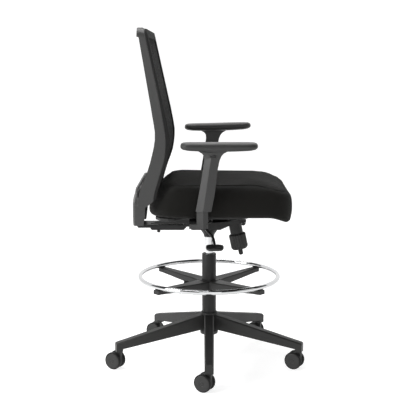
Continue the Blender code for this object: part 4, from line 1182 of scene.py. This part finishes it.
for side, out in (("left", 1), ("right", -1)):
    dressed(f"arm_bracket_steel_{side}", f"arm_bracket_{side}", satin, 0.0016, 3)
    dressed(f"arm_upright_steel_{side}", f"arm_upright_{side}", zinc, 0.0012, 2)
    dressed(f"arm_sleeve_moulding_{side}", f"arm_sleeve_{side}", grey, 0.0016, 3)
    dressed(f"arm_button_cap_{side}", f"arm_button_{side}", nylon, 0.0010, 3)
    pad_low, pad_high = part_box(f"arm_pad_{side}")
    pad_shape = pad_mesh(pad_low, pad_high)
    if side == "left":
        middle = (pad_low + pad_high) / 2
        tip = Matrix.Rotation(LEFT_PAD_TILT, 4, "Y")
        pad_shape.transform(Matrix.Translation(middle + LEFT_PAD_SHIFT) @ tip
                            @ Matrix.Translation(-middle))
    pad = fit(f"arm_pad_skin_{side}", pad_shape, skin_finish, f"arm_{side}", "pad_foam",
              f"arm_pad_{side}")
    foot_low, foot_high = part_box(f"arm_bracket_{side}")
    screws(f"arm_bracket_screws_{side}", [
        Vector(((foot_low.x + foot_high.x) / 2 + shift, AXIS.y + out * reach, foot_low.z))
        for shift in (-0.016, 0.016) for reach in (0.125, 0.165)], "seat", size=1.25)


# Back. A flat steel bar comes out of the housing and turns up into a moulded carrier.
# The carrier holds a moulded frame, and the frame's front rim holds the stretched mesh.

RIM_DEPTH_TOP = 0.0075
RIM_DEPTH_LUMBAR = 0.0115
LUMBAR_HEIGHT = 0.815
GROOVE = 0.0016
GROOVE_DEPTH = 0.0030
RIM_EDGE_RISE = 0.0065
RIM_EDGE_RUN = 0.030
PAST_SIDES = 0.30
frame_low, frame_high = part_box("back_frame")
sheet_low, sheet_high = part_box("back_mesh")


def furthest_x(node, height, pick):
    """The furthest x of a node's shape at a height, forward or rearward."""
    mesh = nodes[node].data
    found = []
    for edge in mesh.edges:
        a, b = (mesh.vertices[i].co for i in edge.vertices)
        if (a.z - height) * (b.z - height) <= 0 and abs(a.z - b.z) > 1e-9:
            found.append(a.x + (b.x - a.x) * (height - a.z) / (b.z - a.z))
    return pick(found)


def levels_between(low, high, steps):
    return [low + (high - low) * i / steps for i in range(steps + 1)]


FRONT_LEVELS = levels_between(frame_low.z + 0.034, frame_high.z - 0.0060, 26)
FRONT_EDGE = [furthest_x("back_frame", height, max) for height in FRONT_LEVELS]


def groove_x(height):
    """Where the groove runs behind the rim. The rim is deepest at the lumbar bend."""
    front = float(np.interp(height, FRONT_LEVELS, FRONT_EDGE))
    bend = math.exp(-((height - LUMBAR_HEIGHT) / 0.11) ** 2)
    return front - RIM_DEPTH_TOP - (RIM_DEPTH_LUMBAR - RIM_DEPTH_TOP) * bend


def side_slab(name, outline, low=-PAST_SIDES, high=PAST_SIDES):
    """A slab across the back from an (x, z) outline, between two places across it."""
    return loft(name, [[(x, AXIS.y + low, z) for x, z in outline],
                       [(x, AXIS.y + high, z) for x, z in outline]])


def kept(bm, tool_mesh, operation):
    """What a cut leaves of a shape."""
    work = add_object("cut", mesh_of(bm, "cut"))
    tool = add_object("tool", tool_mesh)
    cut = work.modifiers.new("cut", "BOOLEAN")
    cut.operation = operation
    cut.object = tool
    made = bmesh.new()
    made.from_mesh(evaluated_mesh(work))
    for thing in (work, tool):
        bpy.data.objects.remove(thing, do_unlink=True)
    bmesh.ops.remove_doubles(made, verts=made.verts, dist=WELD)
    return made


groove_levels = levels_between(0.600, frame_high.z + 0.02, 60)
ahead_of_groove = [(groove_x(z), z) for z in groove_levels]
ahead_of_groove += [(0.1, groove_levels[-1]), (0.1, groove_levels[0])]
groove_line = [(groove_x(z) - GROOVE, z) for z in groove_levels]
groove_line += [(groove_x(z) + 0.0004, z) for z in reversed(groove_levels)]
half_back = (frame_high.y - frame_low.y) / 2

rim = kept(merged("back_frame"), side_slab("ahead", ahead_of_groove), "INTERSECT")
shell = kept(merged("back_frame"), side_slab("ahead", ahead_of_groove), "DIFFERENCE")
groove_floor = half_back - GROOVE_DEPTH
for low, high in ((-PAST_SIDES, -groove_floor), (groove_floor, PAST_SIDES)):
    shell = kept(shell, side_slab("groove", groove_line, low, high), "DIFFERENCE")
mesh_cloth = cloth("mesh_cloth", (0.026, 0.026, 0.0255), 0.0016, 0.06)
for vertex in rim.verts:
    if vertex.co.z > sheet_high.z + 0.006:
        forward = clamped((vertex.co.x - groove_x(vertex.co.z)) / RIM_EDGE_RUN)
        vertex.co.z += RIM_EDGE_RISE * forward
rim_mesh = eased(rim, 0.0018, 3, 34)
map_cloth(rim_mesh)
level_shading(fit("back_frame_shell", eased(shell, 0.0022, 3, 34), grey, "back", "grey_plastic",
                  "back_frame"))
level_shading(fit("back_mesh_rim", rim_mesh, mesh_cloth, "back", "mesh_fabric"))


def open_mesh_cloth():
    """Knitted mesh: staggered rows of small openings between the threads."""
    made = cloth("open_mesh_cloth", (0.026, 0.026, 0.0255), 0.0011, 0.05)
    tree = made.node_tree
    shader = tree.nodes["Principled BSDF"]
    spread = next(node for node in tree.nodes if node.type == "UVMAP")
    knit = add_node(tree, "ShaderNodeTexBrick", {
        "Scale": 1.0, "Brick Width": 0.0036, "Row Height": 0.0024,
        "Mortar Size": 0.00072, "Mortar Smooth": 0.25})
    knit.offset = 0.5
    tree.links.new(spread.outputs["UV"], knit.inputs["Vector"])
    tree.links.new(knit.outputs["Fac"], shader.inputs["Alpha"])
    return made


MESH_THICKNESS = 0.0009
SHEET_CORNER = 0.0217


def mesh_sheet():
    """The stretched sheet, straight across and bent as the uprights are, on its own flat map."""
    rows = 90
    columns = 84
    heights = levels_between(sheet_low.z, sheet_high.z, rows)
    depths = [furthest_x("back_mesh", min(max(z, sheet_low.z + 0.0005), sheet_high.z - 0.0005), max)
              for z in heights]
    depths = np.convolve(np.pad(depths, 3, "edge"), np.ones(7) / 7, "valid")
    run = [0.0]
    for i in range(rows):
        run.append(run[-1] + math.hypot(heights[i + 1] - heights[i], depths[i + 1] - depths[i]))
    bm = bmesh.new()
    layer = bm.loops.layers.uv.new("cloth")
    grid = []
    for row, height in enumerate(heights):
        edge = max(SHEET_CORNER - min(height - sheet_low.z, sheet_high.z - height), 0.0)
        short = SHEET_CORNER - math.sqrt(max(SHEET_CORNER ** 2 - edge ** 2, 0.0))
        ys = levels_between(sheet_low.y + short, sheet_high.y - short, columns)
        grid.append([bm.verts.new((depths[row], y, height)) for y in ys])
    for row in range(rows):
        for column in range(columns):
            corners = (grid[row][column], grid[row][column + 1],
                       grid[row + 1][column + 1], grid[row + 1][column])
            made = bm.faces.new(corners)
            for loop, level in zip(made.loops, (row, row, row + 1, row + 1)):
                loop[layer].uv = (loop.vert.co.y, run[level])
    mesh = mesh_of(bm, "mesh_sheet")
    mesh.shade_smooth()
    return mesh, run[-1]


sheet_mesh, sheet_length = mesh_sheet()
back_sheet = fit("back_mesh_sheet", sheet_mesh, open_mesh_cloth(), "back", "mesh_fabric",
                 "back_mesh")
thick = back_sheet.modifiers.new("thick", "SOLIDIFY")
thick.thickness = MESH_THICKNESS
thick.offset = -1.0

dressed("back_carrier_moulding", "back_carrier", grey, 0.0014, 3)
dressed("back_bar_steel", "back_bar", coat, 0.0016, 3)
screws("back_carrier_screws", [
    Vector((furthest_x("back_carrier", height, min), AXIS.y + side * 0.030, height))
    for height in (0.530, 0.565) for side in (-1, 1)], "back", (-1, 0, 0), 1.3)

bar_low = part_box("back_bar")[0]
BOLT_BEHIND = 0.176
BOLT_OUT = 0.035
stop_bolt = turned("stop_bolt", rounded([
    (0.0, 0.0),
    (0.0056, 0.0),
    (0.0056, 0.0088),
    (0.0042, 0.0102),
    (0.0, 0.0102),
], 0.0006, 2), 28)
for side, out in (("left", 1), ("right", -1)):
    bolt_place = (AXIS.x - BOLT_BEHIND, AXIS.y + out * BOLT_OUT, bar_low.z + 0.0010)
    bolt = placed(stop_bolt.copy(), bolt_place, (0, 0, -1))
    fit(f"back_bar_bolt_{side}", bolt, coat, "back", "black_steel")
